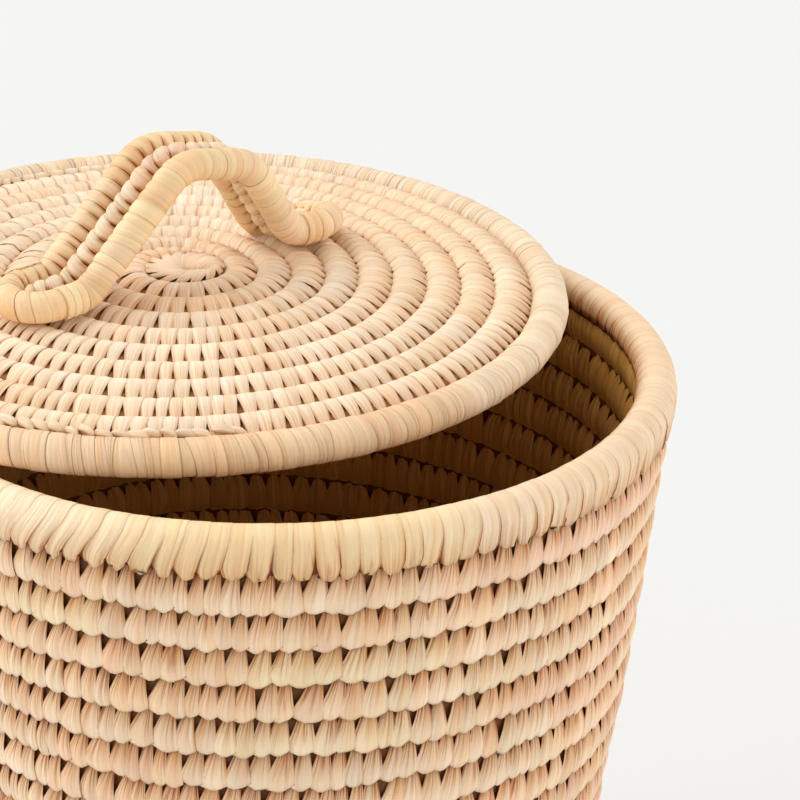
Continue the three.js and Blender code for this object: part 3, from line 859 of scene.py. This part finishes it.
# %% The path and the tints of the rim's strips
RIM_STRIPS = 124
RIM_OUTSIDE_FALL, RIM_INSIDE_FALL = 9.6, 1.2
RIM_OUTSIDE_SLOPE, RIM_INSIDE_SLOPE = 0.2, 0.05
RIM_STATIONS = np.linspace(0, 1, 15)[None, :, None]
RIM_TIP = 1 - smooth(0, 0.16, RIM_STATIONS)
RIM_OUTSIDE = 1 - smooth(0.05, 0.5, RIM_STATIONS)
RIM_ROOT = smooth(0.86, 1, RIM_STATIONS)
RIM_SANDY_WAY, RIM_TAN_AND_SHADE_WAY = np.radians(235), np.radians(-40)
# Painted shade at the tips, on the inner ends, which lie in the shade of the rim, and along the edges, most
# on the outside fall and where the strips hang straight.
RIM_TIP_PAINTED_SHADE, RIM_ROOT_PAINTED_SHADE = 0.3, 0.9
RIM_EDGED, RIM_OUTSIDE_EDGED, RIM_STRAIGHT_EDGED = 0.08, 0.4, 0.4
RIM_VARIETY, RIM_LIGHT, RIM_TAN_SIDE_PAINTED_SHADE = 0.4, 0.99, 0.07
RIM_SHADE, RIM_SHADE_VARIES, RIM_TAN_SHADE = 0.38, 0.3, 0.32


def rim_path(along):
    """From the outside tip to the inside one: a fall, half an oval over the top, and a fall, by length.
    Gives the distance out from the ring's middle, the height, and the outward normal."""
    arch = np.pi * (RIM_HALF_WIDTH + RIM_HALF_HEIGHT) / 2
    run = along * (RIM_OUTSIDE_FALL + arch + RIM_INSIDE_FALL)
    turn = np.clip((run - RIM_OUTSIDE_FALL) / arch, 0, 1) * np.pi
    outside = np.clip(RIM_OUTSIDE_FALL - run, 0, None)
    inside = np.clip(run - RIM_OUTSIDE_FALL - arch, 0, None)
    out = RIM_HALF_WIDTH * np.cos(turn) - RIM_OUTSIDE_SLOPE * outside + RIM_INSIDE_SLOPE * inside
    up = RIM_HALF_HEIGHT * np.sin(turn) - outside - inside
    return out, up, np.cos(turn), np.sin(turn)


def rim_tints(count, around, straight):
    """Tips, inner ends and edges get painted shade. The leaf goes to its sandy shade in front and to its
    tan shade at the right, where painted shade makes it a little darker."""
    tip_painted_shade = RIM_TIP_PAINTED_SHADE * (1 - smooth(0, 0.36, RIM_STATIONS))
    root_painted_shade = RIM_ROOT_PAINTED_SHADE * smooth(0.72, 0.98, RIM_STATIONS)
    straight_part = each(straight) * (1 - smooth(0.2, 0.55, RIM_STATIONS))
    edged = RIM_EDGED + RIM_OUTSIDE_EDGED * RIM_OUTSIDE + RIM_STRAIGHT_EDGED * straight_part
    tint = strip_tints(count, tip_painted_shade + root_painted_shade + edged * IS_EDGE, RIM_VARIETY)
    sandy = each(smooth(0.85, 1, np.cos(around - RIM_SANDY_WAY)))
    # Painted shade at the right: the leaf is a little darker there, as well as tanner.
    tan_and_painted_shade = each((0.5 + 0.5 * np.cos(around - RIM_TAN_AND_SHADE_WAY)) ** 3)
    tint[..., 0] *= RIM_LIGHT - RIM_TAN_SIDE_PAINTED_SHADE * tan_and_painted_shade
    tint[..., 1] = RIM_SHADE_VARIES * tint[..., 1] + RIM_SHADE * (1 - sandy) + RIM_TAN_SHADE * tan_and_painted_shade
    return tint


print("the rim's strips are", round(2 * np.pi * RIM_RADIUS / RIM_STRIPS, 1), "mm apart")

# %% [markdown]
# On the real rim the strips lean to the left as they fall outside, but at the right front they hang
# straight. On top they lie flush with each other, and towards the points their pleats open and one edge
# rises over the next strip. So pleats and overlap are added in full at the point and fade towards the top.

# %% Wrap the rim
RIM_POINT_SCALE = 37
RIM_STRAIGHT_FROM, RIM_STRAIGHT_TO = (205, 236), (330, 360)
RIM_CUT = dict(point=2.3, skew=0.9, ragged=0.7, broad=1.22, tip_narrowing=0.25, root_narrowing=0.45,
               width_varies=0.12, lean_varies=0.12, place_varies=0.3, crown=0.08, overlap=0.08,
               outside_crown=0.4, outside_overlap=0.2, uneven=0.07, sunk=0.33, pleat=0.75, tip_curl=0.15)
RIM_LEAN_WAVES = 13
RIM_GRAIN = 2.3


def rim_strips():
    """Strips set evenly round the ring. The point is a V in the length, and pleats and the overlapping
    edge fade from the point to the top. The strips lean to the left, but for the right front."""
    count = RIM_STRIPS
    cut = RIM_CUT
    pitch = 2 * np.pi * RIM_RADIUS / count
    around = 2 * np.pi * np.arange(count) / count
    degrees = np.degrees(around)
    straight = smooth(*RIM_STRAIGHT_FROM, degrees) * (1 - smooth(*RIM_STRAIGHT_TO, degrees))
    skew = jitter(count, cut["skew"]) * ACROSS
    point = cut["point"] * np.abs(ACROSS) + skew + jitter(count, cut["ragged"])
    out, up, out_normal, up_normal = rim_path(RIM_STATIONS + RIM_TIP * point / RIM_POINT_SCALE)
    width = cut["broad"] - cut["tip_narrowing"] * RIM_TIP - cut["root_narrowing"] * RIM_ROOT
    half_width = pitch / 2 * width * (1 + jitter(count, cut["width_varies"]))
    wave = cut["lean_varies"] * each(np.sin(RIM_LEAN_WAVES * around))
    lean = 1 - each(straight) + wave + jitter(count, cut["lean_varies"])
    sideways = half_width * ACROSS - pitch * lean * RIM_OUTSIDE + jitter(count, cut["place_varies"])
    crown = (cut["crown"] + cut["outside_crown"] * RIM_OUTSIDE) * (1 - ACROSS**2)
    overlap = (cut["overlap"] + cut["outside_overlap"] * RIM_OUTSIDE) * ACROSS
    lie = crown + overlap + jitter(count, cut["uneven"]) - cut["sunk"]
    folded = pleats(count, cut["pleat"]) * RIM_OUTSIDE - cut["tip_curl"] * RIM_TIP**3
    height = lie + folded - LEAF_THICKNESS * IS_BACK
    angle = each(around) + sideways / RIM_RADIUS
    points = polar(RIM_RADIUS + out + height * out_normal, angle, RIM_LEVEL + up + height * up_normal)
    leaf = strip_places(count, ACROSS, RIM_STATIONS * RIM_GRAIN)
    tint = rim_tints(count, around, straight)
    return make_piece("rim_strips", points, leaf, tint, rim_leaf, "bin", ("rim_wrap",),
                      sharp=LEAF_FOLDS)


rim_strips()

# %% [markdown]
# The lid's edge and the handle are wound strands: a strip goes round and round the bundle, each turn a
# little over the one before, so fine dark lines run round the strand, some deep and most faint. A route
# gives the way that a strand takes. Each turn of the strip has a few rings, close together where it begins
# and ends, because the lines between turns are drawn there.

# %% Routes and tints of wound strands
WIND_PART = np.array([0, 0.07, 0.3, 0.7, 0.93, 1])
# Painted shade: the lines between turns are deeper on the underside, and the notches on the pinched side
# are darkened.
LINE_SHADE = np.array([1.5, 0, 0, 0, 0, 0.5])
LINE_DEPTH, LINE_UNDERSIDE, LINE_RARITY = 0.7, 0.5, 3
PINCH_SHADE = np.array([1.0, 0.8, 0, 0, 0.6, 1.0])
# The strands' leaf is painted a little darker than the sewn strips' leaf, as painted shade for the handle
# and the lid's edge.
STRAND_LIGHT = 0.93
PALER_LIGHT, PALER_SHADE = 0.025, 0.65


def route_at(route, length):
    """Centre, side and normal of a route at the given lengths, by straight steps between its points."""
    fields = [stacked(*(np.interp(length, route["length"], values[:, axis], period=route["period"])
                        for axis in range(3))) for values in route["fields"]]
    side = fields[1] / np.linalg.norm(fields[1], axis=-1, keepdims=True)
    normal = fields[2] / np.linalg.norm(fields[2], axis=-1, keepdims=True)
    return fields[0], side, normal


def over_rings(values):
    """One value for each turn, repeated for the rings of that turn."""
    return np.repeat(values, len(WIND_PART))[:, None]


def strand_tints(count, angle, pinched, paler):
    """Lightness and shade of each turn, and dark lines between turns: deep ones now and then, deepest on
    the underside, where the extra depth is painted shade, and painted shade in the notches on the pinched
    side of the strand always. Turns that are less pale are also a little darker with painted shade."""
    light = STRAND_LIGHT + chance.normal(0, LIGHT_VARIES, count)
    shade = np.clip(in_runs(count, 2, 6) + chance.normal(0, SHADE_VARIES, count), 0, 1)
    if paler is not None:
        light = light * (1 - PALER_LIGHT * (1 - paler))
        shade = (1 - PALER_SHADE) * shade + PALER_SHADE * paler
    depth = over_rings(chance.random(count) ** LINE_RARITY)
    below = LINE_DEPTH - LINE_UNDERSIDE * np.sin(angle)
    lines = np.tile(LINE_SHADE, count)[:, None] * depth * below
    notches = np.tile(PINCH_SHADE, count)[:, None] * pinched
    return stacked(over_rings(light), over_rings(shade), lines + notches)


print("rings in a turn of the strip:", len(WIND_PART))

# %% [markdown]
# A strand could be many separate turns, but they lie so close that one tube shows the same. The radius of
# the tube dips between turns, and its rings tilt a little, as hand winding does. Where a strand is sewn to
# its neighbour, the sewing pulls notches between the turns, and they are darkened with painted shade.

# %% Winding a strand
PINCH_PROFILE = np.array([-1.0, -0.8, -0.15, -0.1, -0.7, -1.0])
PINCHED_PART = (0.5, 0.9)
TILT_VARIES, TILT_LEAST, TILT_WAY = 0.35, 0.1, 0.6
SWELL_VARIES = 0.09
STRAND_GRAIN = 15
STRAND_TIP = 0.02


def wound_strand(name, route, starts, radius, profile, tilt, start_angle, sides, finish, replaced,
                 closed=True, paler=None, pinched_way=None):
    """A tube along a route. starts are the lengths at which the turns of the strip begin and end.
    The radius follows the profile over each turn, and each ring tilts by its turn's own amount. Between
    turns it is pinched in notches, darkened with painted shade, on the side that pinched_way, an angle
    round the strand, points at. paler is how pale each turn is, and the less pale turns are also a little
    darker with painted shade. An open strand has ball-shaped ends."""
    count = len(starts) - 1
    part = WIND_PART[None, :]
    ring = starts[:-1, None] + np.diff(starts)[:, None] * part
    angle = start_angle + 2 * np.pi * np.arange(sides) / sides
    tilts = chance.normal(tilt, tilt * TILT_VARIES + TILT_LEAST, count + 1)
    tilts[-1] = tilts[0]
    ring_tilt = (tilts[:-1, None] * (1 - part) + tilts[1:, None] * part).reshape(-1, 1)
    length = ring.reshape(-1, 1) + ring_tilt * np.cos(angle + TILT_WAY)
    pinched = np.zeros(sides)
    if pinched_way is not None:
        pinched = smooth(*PINCHED_PART, np.cos(angle - pinched_way))
    dips = profile[:, None] + PINCH_PROFILE[:, None] * pinched
    reach = radius + (dips + chance.normal(0, SWELL_VARIES, (count, 1, 1))).reshape(-1, sides)
    centre, side, normal = route_at(route, length)
    if not closed:
        to_end = np.clip(np.minimum(length, route["length"][-1] - length) / radius, STRAND_TIP, 1)
        reach = reach * np.sqrt(1 - (1 - to_end) ** 2)
    spoke = np.cos(angle)[:, None] * side + np.sin(angle)[:, None] * normal
    points = centre + reach[..., None] * spoke
    number = over_rings(chance.random(count) * GRAIN_NUMBERS)
    turn_part = np.tile(2 * WIND_PART - 1, count)[:, None]
    leaf = stacked(turn_part, (angle - start_angle) * radius / STRAND_GRAIN, number)
    tint = strand_tints(count, angle, pinched, paler)
    return make_piece(name, points[None], leaf[None], tint[None], finish, "lid", (replaced,), closed)


print("notches between turns are", -PINCH_PROFILE.min(), "mm deep")

# %% [markdown]
# The lid's edge is a strand bent into a ring, wound with strips of very uneven width. The leaf is sandier
# in front and paler behind, and a little darker in front with painted shade, so each turn is told how far
# behind it lies.

# %% Wind the lid's edge
LID_EDGE_TURNS = 176
LID_EDGE_RADIUS = LID_RADIUS - LID_EDGE_HALF
EDGE_THINNER = 0.1
EDGE_PROFILE = np.array([-0.34, 0.0, 0.06, 0.05, 0, -0.1])
EDGE_WIDTHS = (0.4, 1.6)
EDGE_SANDIEST_WAY, EDGE_PALER_FROM, EDGE_PALER_BY = np.radians(230), -0.85, -0.5
RING_POINTS = 721


def ring_route(radius, middle):
    """A circle with its side pointing out and its normal up."""
    angle = np.linspace(0, 2 * np.pi, RING_POINTS)
    out = polar(1, angle, 0)
    up = np.broadcast_to([0.0, 0.0, 1.0], out.shape)
    return dict(length=radius * angle, period=2 * np.pi * radius, fields=(middle + radius * out, out, up))


lid_edge_route = ring_route(LID_EDGE_RADIUS, LID_MIDDLE)
edge_widths = chance.uniform(*EDGE_WIDTHS, LID_EDGE_TURNS)
edge_starts = np.concatenate([[0], np.cumsum(edge_widths)]) / edge_widths.sum() * lid_edge_route["period"]
behind = -np.cos(edge_starts[:-1] / LID_EDGE_RADIUS - EDGE_SANDIEST_WAY)
wound_strand("lid_edge_winding", lid_edge_route, edge_starts, LID_EDGE_HALF - EDGE_THINNER, EDGE_PROFILE,
             tilt=0.9, start_angle=np.pi, sides=16, finish=edge_leaf,
             replaced="lid_edge_wrap", paler=smooth(EDGE_PALER_FROM, EDGE_PALER_BY, behind))

# %% [markdown]
# Along the front part of the lid, a row of small twisted loops lies in the groove between the last round
# and the edge. Each is a short cord that slants across the groove and over the end of the next, so a tube
# of a few stations with rounded ends is enough.

# %% Lay the loops inside the lid's edge
LOOP_COUNT = 34
LOOP_FROM, LOOP_TO = np.radians(160), np.radians(242)
LOOP_SIDES = 6
LOOP_STATIONS = np.linspace(0, 1, 7)[None, :, None]
LOOP_CUT = dict(inside=0.4, inside_varies=0.4, half_thick=1.3, thick_varies=0.4, rounding=0.97, slant=1.1,
                slant_varies=0.6, half_length=0.66, length_varies=0.16, place_varies=0.2, sunk=0.6,
                stand_varies=0.6, end_drop=0.7, grain=0.5, painted_shade_and_bruise=0.15)


def edge_loops():
    """Short cords that lie along the groove from one angle to another, each slanting across it and over
    the end of the next, unevenly high. With s from -1 to 1 along a cord, its thickness falls to the ends as
    the square root of 1 - s⁴."""
    count = LOOP_COUNT
    cut = LOOP_CUT
    around = (2 * np.pi * np.arange(LOOP_SIDES) / LOOP_SIDES)[None, None, :]
    swing = 2 * LOOP_STATIONS - 1
    middle = LID_GROOVE_RADIUS - cut["inside"] + jitter(count, cut["inside_varies"])
    rounded = np.sqrt(np.clip(1 - (cut["rounding"] * swing) ** 4, 0, 1))
    thick = (cut["half_thick"] + jitter(count, cut["thick_varies"])) * rounded
    slant = cut["slant"] + jitter(count, cut["slant_varies"])
    radius = middle + slant * swing + thick * np.cos(around)
    pitch = (LOOP_TO - LOOP_FROM) * LID_GROOVE_RADIUS / count
    half_length = cut["half_length"] + jitter(count, cut["length_varies"])
    sideways = pitch * (half_length * swing + jitter(count, cut["place_varies"]))
    crest = LID_THICKNESS / 2 - cut["sunk"] + jitter(count, cut["stand_varies"])
    stand = crest - cut["end_drop"] * swing**2
    level = lid_crown(radius) + stand + thick * np.sin(around)
    angle = each(np.linspace(LOOP_FROM, LOOP_TO, count)) + sideways / radius
    points = polar(radius, angle, level) + LID_MIDDLE
    leaf = strip_places(count, np.cos(around), LOOP_STATIONS * cut["grain"])
    # The loops are all darkened a little in the same way.
    tint = strip_tints(count, cut["painted_shade_and_bruise"])
    return make_piece("lid_edge_loops", points, leaf, tint, lid_leaf, "lid")


edge_loops()

# %% [markdown]
# The handle is a long loop of wound strand, flattened into two side-by-side strands that arch over the lid
# and end in two feet, with a third, sewn strand between them. The arch leans: its left leg is long, its
# right leg short. Its middle line is a row of corners, each inner one rounded by an arc of a parabola, as
# in the solids.

# %% The handle's middle line
HANDLE_SPAN, HANDLE_OFFSET, HANDLE_FOOT = 80.0, -1.0, 11.0
STRAND_HALF, CENTRE_HALF = 5.4, 4.3
STRAND_APART = STRAND_HALF + CENTRE_HALF + SEAT_GAP
LEFT_SHOULDER, RIGHT_SHOULDER = (37.0, 33.5), (16.5, 27.5)
BEND_RADIUS, SHOULDER_RADIUS = 9.0, 15.0
BEND_STEPS = 12


def rounded_route(corners, radii):
    """Corner points with every inner corner replaced by the parabola (1-t)² start + 2t(1-t) corner +
    t² end, which starts and ends where a circle of the given radius would touch."""
    pieces = [corners[:1]]
    part = np.linspace(0, 1, BEND_STEPS)[:, None]
    for before, corner, after, radius in zip(corners, corners[1:], corners[2:], radii):
        back = (before - corner) / np.linalg.norm(before - corner)
        ahead = (after - corner) / np.linalg.norm(after - corner)
        reach = radius / np.tan(np.arccos(back @ ahead) / 2)
        start, end = corner + back * reach, corner + ahead * reach
        pieces.append((1 - part) ** 2 * start + 2 * part * (1 - part) * corner + part**2 * end)
    return np.concatenate([*pieces, corners[-1:]])


def on_lid_top(x):
    """The (x, level) point of a strand that lies on the lid."""
    return [x, lid_crown(x) + LID_THICKNESS / 2 + STRAND_HALF + SEAT_GAP]


def handle_midline():
    """(x, level) points over the lid's middle, from the left foot to the right one."""
    left, right = HANDLE_OFFSET - HANDLE_SPAN / 2, HANDLE_OFFSET + HANDLE_SPAN / 2
    base = on_lid_top(left)[1]
    corners = np.array([
        on_lid_top(left - HANDLE_FOOT),
        on_lid_top(left),
        [left + LEFT_SHOULDER[0], base + LEFT_SHOULDER[1]],
        [right - RIGHT_SHOULDER[0], base + RIGHT_SHOULDER[1]],
        on_lid_top(right),
        on_lid_top(right + HANDLE_FOOT),
    ])
    return rounded_route(corners, (BEND_RADIUS, SHOULDER_RADIUS, SHOULDER_RADIUS, BEND_RADIUS))


midline = handle_midline()
slope = np.gradient(midline, axis=0)
slope /= np.linalg.norm(slope, axis=1, keepdims=True)
print("the handle stands", round(midline[:, 1].max() - midline[0, 1], 1), "mm over its left foot")

# %% [markdown]
# The two strands of the loop run beside the middle line and turn round the feet in half circles, and the
# third strand lies on the middle line. A route holds the centres, the sides and the normals of a strand,
# with the length along it. The rear half of the right foot is pressed down into the lid, as in the photo.

# %% The routes of the handle's strands
FOOT_STEPS = 14
CENTRE_LONGER = 5.2
FOOT_PRESSED, FOOT_PRESSED_X, FOOT_PRESSED_Y = 4.0, (34, 44), (-7, 8)


def in_space(flat, y):
    """(x, level) pairs with a y, as points."""
    return stacked(flat[:, 0], y, flat[:, 1])


def foot_end(tip, along, way):
    """Half a circle round a foot, from one strand to the other: centres, sides and normals."""
    turn = np.linspace(-np.pi / 2, np.pi / 2, FOOT_STEPS)[1:-1]
    forward = np.array([along[0], 0, along[1]])
    side = way * (np.cos(turn)[:, None] * forward + np.sin(turn)[:, None] * np.array([0, 1, 0]))
    normal = np.broadcast_to([-along[1], 0, along[0]], side.shape)
    return np.array([tip[0], 0, tip[1]]) + STRAND_APART * side, side, normal


def strand_fields(y, way):
    """Centres, sides and normals of a strand beside the middle line."""
    sides = np.broadcast_to([0.0, way, 0.0], (len(midline), 3))
    return in_space(midline, y), sides, in_space(np.stack([-slope[:, 1], slope[:, 0]], axis=-1), 0)


def centre_fields():
    """The strand on the middle line, made longer at both ends to fill the feet."""
    centres, sides, normals = strand_fields(0, 1)
    tips = np.stack([midline[0] - CENTRE_LONGER * slope[0], midline[-1] + CENTRE_LONGER * slope[-1]])
    ends = in_space(tips, 0)
    centres = np.concatenate([ends[:1], centres, ends[1:]])
    repeat = [0, *range(len(midline)), len(midline) - 1]
    return centres, sides[repeat], normals[repeat]


def pressed(points):
    """Points with the rear half of the right foot pressed down into the lid, by S-curves in x and y."""
    x, y, level = np.moveaxis(points, -1, 0)
    return stacked(x, y, level - FOOT_PRESSED * smooth(*FOOT_PRESSED_X, x) * smooth(*FOOT_PRESSED_Y, y))


def joined_route(groups, closed):
    """Stations joined into a route on the lid with the length along it."""
    fields = [np.concatenate([group[i] for group in groups]) for i in range(3)]
    fields[0] = pressed(fields[0]) + LID_MIDDLE
    if closed:
        fields = [np.concatenate([field, field[:1]]) for field in fields]
    length = np.concatenate([[0], np.cumsum(np.linalg.norm(np.diff(fields[0], axis=0), axis=1))])
    return dict(length=length, period=length[-1] if closed else None, fields=fields)


front = strand_fields(-STRAND_APART, -1)
rear = [field[::-1] for field in strand_fields(STRAND_APART, 1)]
right_end = foot_end(midline[-1], slope[-1], 1)
left_end = foot_end(midline[0], slope[0], -1)
loop_route = joined_route([front, right_end, rear, left_end], True)
centre_route = joined_route([centre_fields()], False)
print("handle loop is", round(loop_route["length"][-1]), "mm long")

# %% [markdown]
# The loop is wound with broad turns, which are set closer over the right part of the arch. The middle
# strand is sewn in short stitches that swell a little, like beads. Both strands are pinched on the sides
# where they are sewn together, so that small dark corners show between them, deepened with painted shade.

# %% Wind the handle
HANDLE_TURN_WIDTH, TIGHT_TURN_WIDTH, BEAD_WIDTH = 4.0, 3.2, 5.0
TURN_WIDTH_VARIES = 0.22
TIGHT_FROM, TIGHT_TO = (-5, 12), (28, 36)
HANDLE_PROFILE = np.array([-0.12, -0.02, 0.02, 0.02, 0, -0.06])
BEAD_PROFILE = np.array([-0.75, -0.3, 0.2, 0.2, -0.3, -0.75])
HANDLE_PINCHED_WAY = np.radians(172)
LOOP_THINNER, CENTRE_THINNER = 0.35, 0.1


def turn_starts(route, wanted):
    """Lengths that part the route into turns of about the wanted width, which may differ along it."""
    crowding = np.concatenate([[0], np.cumsum(np.diff(route["length"]) / wanted[1:])])
    count = round(crowding[-1])
    shifts = chance.uniform(-TURN_WIDTH_VARIES, TURN_WIDTH_VARIES, count - 1)
    places = np.arange(count + 1) + np.concatenate([[0], shifts, [0]])
    return np.interp(places * crowding[-1] / count, crowding, route["length"])


loop_x = loop_route["fields"][0][:, 0]
tightness = smooth(*TIGHT_FROM, loop_x) * (1 - smooth(*TIGHT_TO, loop_x))
loop_widths = HANDLE_TURN_WIDTH + (TIGHT_TURN_WIDTH - HANDLE_TURN_WIDTH) * tightness
loop_starts = turn_starts(loop_route, loop_widths)
wound_strand("handle_winding", loop_route, loop_starts, STRAND_HALF - LOOP_THINNER, HANDLE_PROFILE,
             tilt=0.6, start_angle=-np.pi / 2, sides=18, finish=handle_leaf,
             replaced="handle_loop_wrap", pinched_way=HANDLE_PINCHED_WAY)
bead_starts = turn_starts(centre_route, np.full(len(centre_route["length"]), BEAD_WIDTH))
wound_strand("handle_beads", centre_route, bead_starts, CENTRE_HALF - CENTRE_THINNER, BEAD_PROFILE,
             tilt=1.8, start_angle=-np.pi / 2, sides=14, finish=wall_leaf,
             replaced="handle_centre_strand", closed=False, pinched_way=HANDLE_PINCHED_WAY)

# %% [markdown]
# Inside the rim, the lid's edge and the handle's loop runs a plain grass bundle. Hardly any of it shows,
# but it is there in the solids, so it is a dark oval tube along the same ring or loop. In the rim it lies
# lower and is taller, so that it fills the space behind the points of the strips.

# %% Grass cores
CORE_SIDES, CORE_STATIONS = 8, 160
CORE_ANGLES = 2 * np.pi * np.arange(CORE_SIDES) / CORE_SIDES
CORE_UNDER_LEAVES = 1.3
RIM_GRASS_DROP, RIM_GRASS_TALLER = 2.2, 0.3


def grass_core(name, route, half_width, half_height, body, replaced):
    """An oval tube along a closed route."""
    length = np.linspace(0, route["period"], CORE_STATIONS, endpoint=False)[:, None]
    centre, side, normal = route_at(route, length)
    sideways = half_width * np.cos(CORE_ANGLES)[:, None] * side
    upwards = half_height * np.sin(CORE_ANGLES)[:, None] * normal
    points = centre + sideways + upwards
    leaf = stacked(CORE_ANGLES, length / STRAND_GRAIN, 0)
    return make_piece(name, points[None], leaf[None], GRASS_TINT, dark_grass, body,
                      (replaced,), closed=True)


rim_route = ring_route(RIM_RADIUS, np.array([0, 0, RIM_LEVEL - RIM_GRASS_DROP]))
edge_core_half = LID_EDGE_HALF - CORE_UNDER_LEAVES
loop_core_half = STRAND_HALF - CORE_UNDER_LEAVES
grass_core("rim_grass", rim_route, RIM_HALF_WIDTH - CORE_UNDER_LEAVES, RIM_HALF_HEIGHT + RIM_GRASS_TALLER,
           "bin", "rim_core")
grass_core("lid_edge_grass", lid_edge_route, edge_core_half, edge_core_half, "lid", "lid_edge_core")
grass_core("handle_grass", loop_route, loop_core_half, loop_core_half, "lid", "handle_loop_core")

# %% [markdown]
# Each foot is lashed to the lid where it lies on it. A lashing is a few narrow strips that come up out of
# the lid, lie round the outer side of the strand, and go back down between the strands.

# %% Lash the feet
LASHING_STRIPS = 3
LASHING_PITCH, LASHING_HALF_WIDTH = 2.7, 0.52
LASHING_FROM, LASHING_SWEEP = np.radians(-62), np.radians(150)
LASHING_STAND, LASHING_CROWN, LASHING_BACK = 0.05, 0.18, 0.6
LASHING_SLANT, LASHING_GRAIN = 0.5, 0.5


def foot_lashing(name, foot, bend, y_way):
    """Narrow strips bent round the strand: an arc in the plane across it, from under its outer side to
    its top."""
    count = LASHING_STRIPS
    along = (bend - foot) / np.linalg.norm(bend - foot)
    up = np.array([-along[1], along[0]]) * np.sign(along[0])
    turn = LASHING_FROM + LASHING_SWEEP * ALONG
    reach = STRAND_HALF + LASHING_STAND + LASHING_CROWN * (1 - ACROSS**2) - LASHING_BACK * IS_BACK
    place = each(np.arange(count) - (count - 1) / 2)
    slant = jitter(count, LASHING_SLANT) * (ALONG - 0.5) * 2
    run = LASHING_PITCH * (place + LASHING_HALF_WIDTH * ACROSS) + slant
    middle = (foot + bend) / 2
    x = middle[0] + run * along[0] + reach * np.sin(turn) * up[0]
    level = middle[1] + run * along[1] + reach * np.sin(turn) * up[1]
    y = y_way * (STRAND_APART + reach * np.cos(turn))
    points = pressed(stacked(x, y, level)) + LID_MIDDLE
    leaf = strip_places(count, ACROSS * LASHING_GRAIN, ALONG)
    return make_piece(name, points, leaf, strip_tints(count, 0), handle_leaf, "lid",
                      (name.replace("strips", "lashing"),))


for end, foot, bend in (("left", midline[0], midline[1]), ("right", midline[-1], midline[-2])):
    for face, y_way in (("front", -1), ("rear", 1)):
        foot_lashing(f"foot_strips_{end}_{face}", foot, bend, y_way)

# %% [markdown]
# The bin stands on a pale, matt floor without an edge in sight. A curved backdrop would do as well, but the
# camera looks down, so one large flat sheet fills the picture. It is a stage and not a part of the bin.

# %% The floor
FLOOR_REACH = 6.0
FLOOR_PAINT, FLOOR_ROUGHNESS = painted(226, 226, 224), 0.9


def pale_floor():
    """A large flat sheet at the bin's foot, in metres."""
    mesh = bpy.data.meshes.new("floor")
    corners = [(x * FLOOR_REACH, y * FLOOR_REACH, 0) for x, y in ((-1, -1), (1, -1), (1, 1), (-1, 1))]
    mesh.from_pydata(corners, [], [(0, 1, 2, 3)])
    floor = bpy.data.objects.new("floor", mesh)
    bpy.context.scene.collection.objects.link(floor)
    material = bpy.data.materials.new("pale_floor")
    material.use_nodes = True
    shader = material.node_tree.nodes["Principled BSDF"]
    shader.inputs["Base Color"].default_value = FLOOR_PAINT
    shader.inputs["Roughness"].default_value = FLOOR_ROUGHNESS
    shader.inputs["Specular IOR Level"].default_value = 0.0
    mesh.materials.append(material)


pale_floor()
print("the floor is", 2 * FLOOR_REACH, "m wide")

# %% [markdown]
# The bin stands in soft light from all round. A wide sun from the left rear gives the soft shadows, and low
# fills from the right, the left and the camera lighten the wall. Area lamps would do too, but suns give
# every part of the bin the same light. A white surface that faces up comes out close to white, so the
# finishes render about as they are written.

# %% The light
SKY_STRENGTH = 0.52
FILL_SOFTNESS, FILL_TILT = 90, 80


def wide_sun(name, strength, softness, tilt, turn):
    """A sun as wide as a softbox. The tilt is from straight down and the turn is about the upright axis."""
    lamp = bpy.data.lights.new(name, "SUN")
    lamp.energy = strength
    lamp.angle = np.radians(softness)
    sun = bpy.data.objects.new(name, lamp)
    sun.rotation_euler = (np.radians(tilt), 0, np.radians(turn))
    bpy.context.scene.collection.objects.link(sun)


def soft_light():
    """An even sky, a wide key sun from the left rear, and low fills from the right, the left and the
    camera."""
    world = bpy.data.worlds.new("studio")
    world.use_nodes = True
    world.node_tree.nodes["Background"].inputs["Color"].default_value = (1, 1, 1, 1)
    world.node_tree.nodes["Background"].inputs["Strength"].default_value = SKY_STRENGTH
    bpy.context.scene.world = world
    wide_sun("key_sun", strength=1.5, softness=55, tilt=40, turn=204)
    wide_sun("right_fill", strength=1.85, softness=FILL_SOFTNESS, tilt=FILL_TILT, turn=50)
    wide_sun("left_fill", strength=1.58, softness=FILL_SOFTNESS, tilt=FILL_TILT, turn=-130)
    wide_sun("front_fill", strength=0.18, softness=FILL_SOFTNESS, tilt=FILL_TILT, turn=-40)


soft_light()
print("lights:", len(bpy.data.lights))

# %% [markdown]
# The camera looks from the front left and from above through a long lens, so the bin is seen nearly without
# perspective, as in the photo. Its place was fitted to the ovals of the rim and the lid. The colours are
# shown by the plain screen curve, without a film look.

# %% The camera
CAMERA_PLACE = (-0.7066, -0.8992, 0.7685)
CAMERA_TILT, CAMERA_TURN = np.radians(90 - 24.05), np.radians(-40.1)
LENS_LENGTH, SENSOR_WIDTH = 180, 36


def camera_at_photo():
    """A long lens, looking down at the rim from the front left."""
    lens = bpy.data.cameras.new("camera")
    lens.lens = LENS_LENGTH
    lens.sensor_width = SENSOR_WIDTH
    camera = bpy.data.objects.new("camera", lens)
    camera.location = CAMERA_PLACE
    camera.rotation_euler = (CAMERA_TILT, 0, CAMERA_TURN)
    bpy.context.scene.collection.objects.link(camera)
    bpy.context.scene.camera = camera


camera_at_photo()
bpy.context.scene.view_settings.view_transform = "Standard"
print("the camera stands at", CAMERA_PLACE)
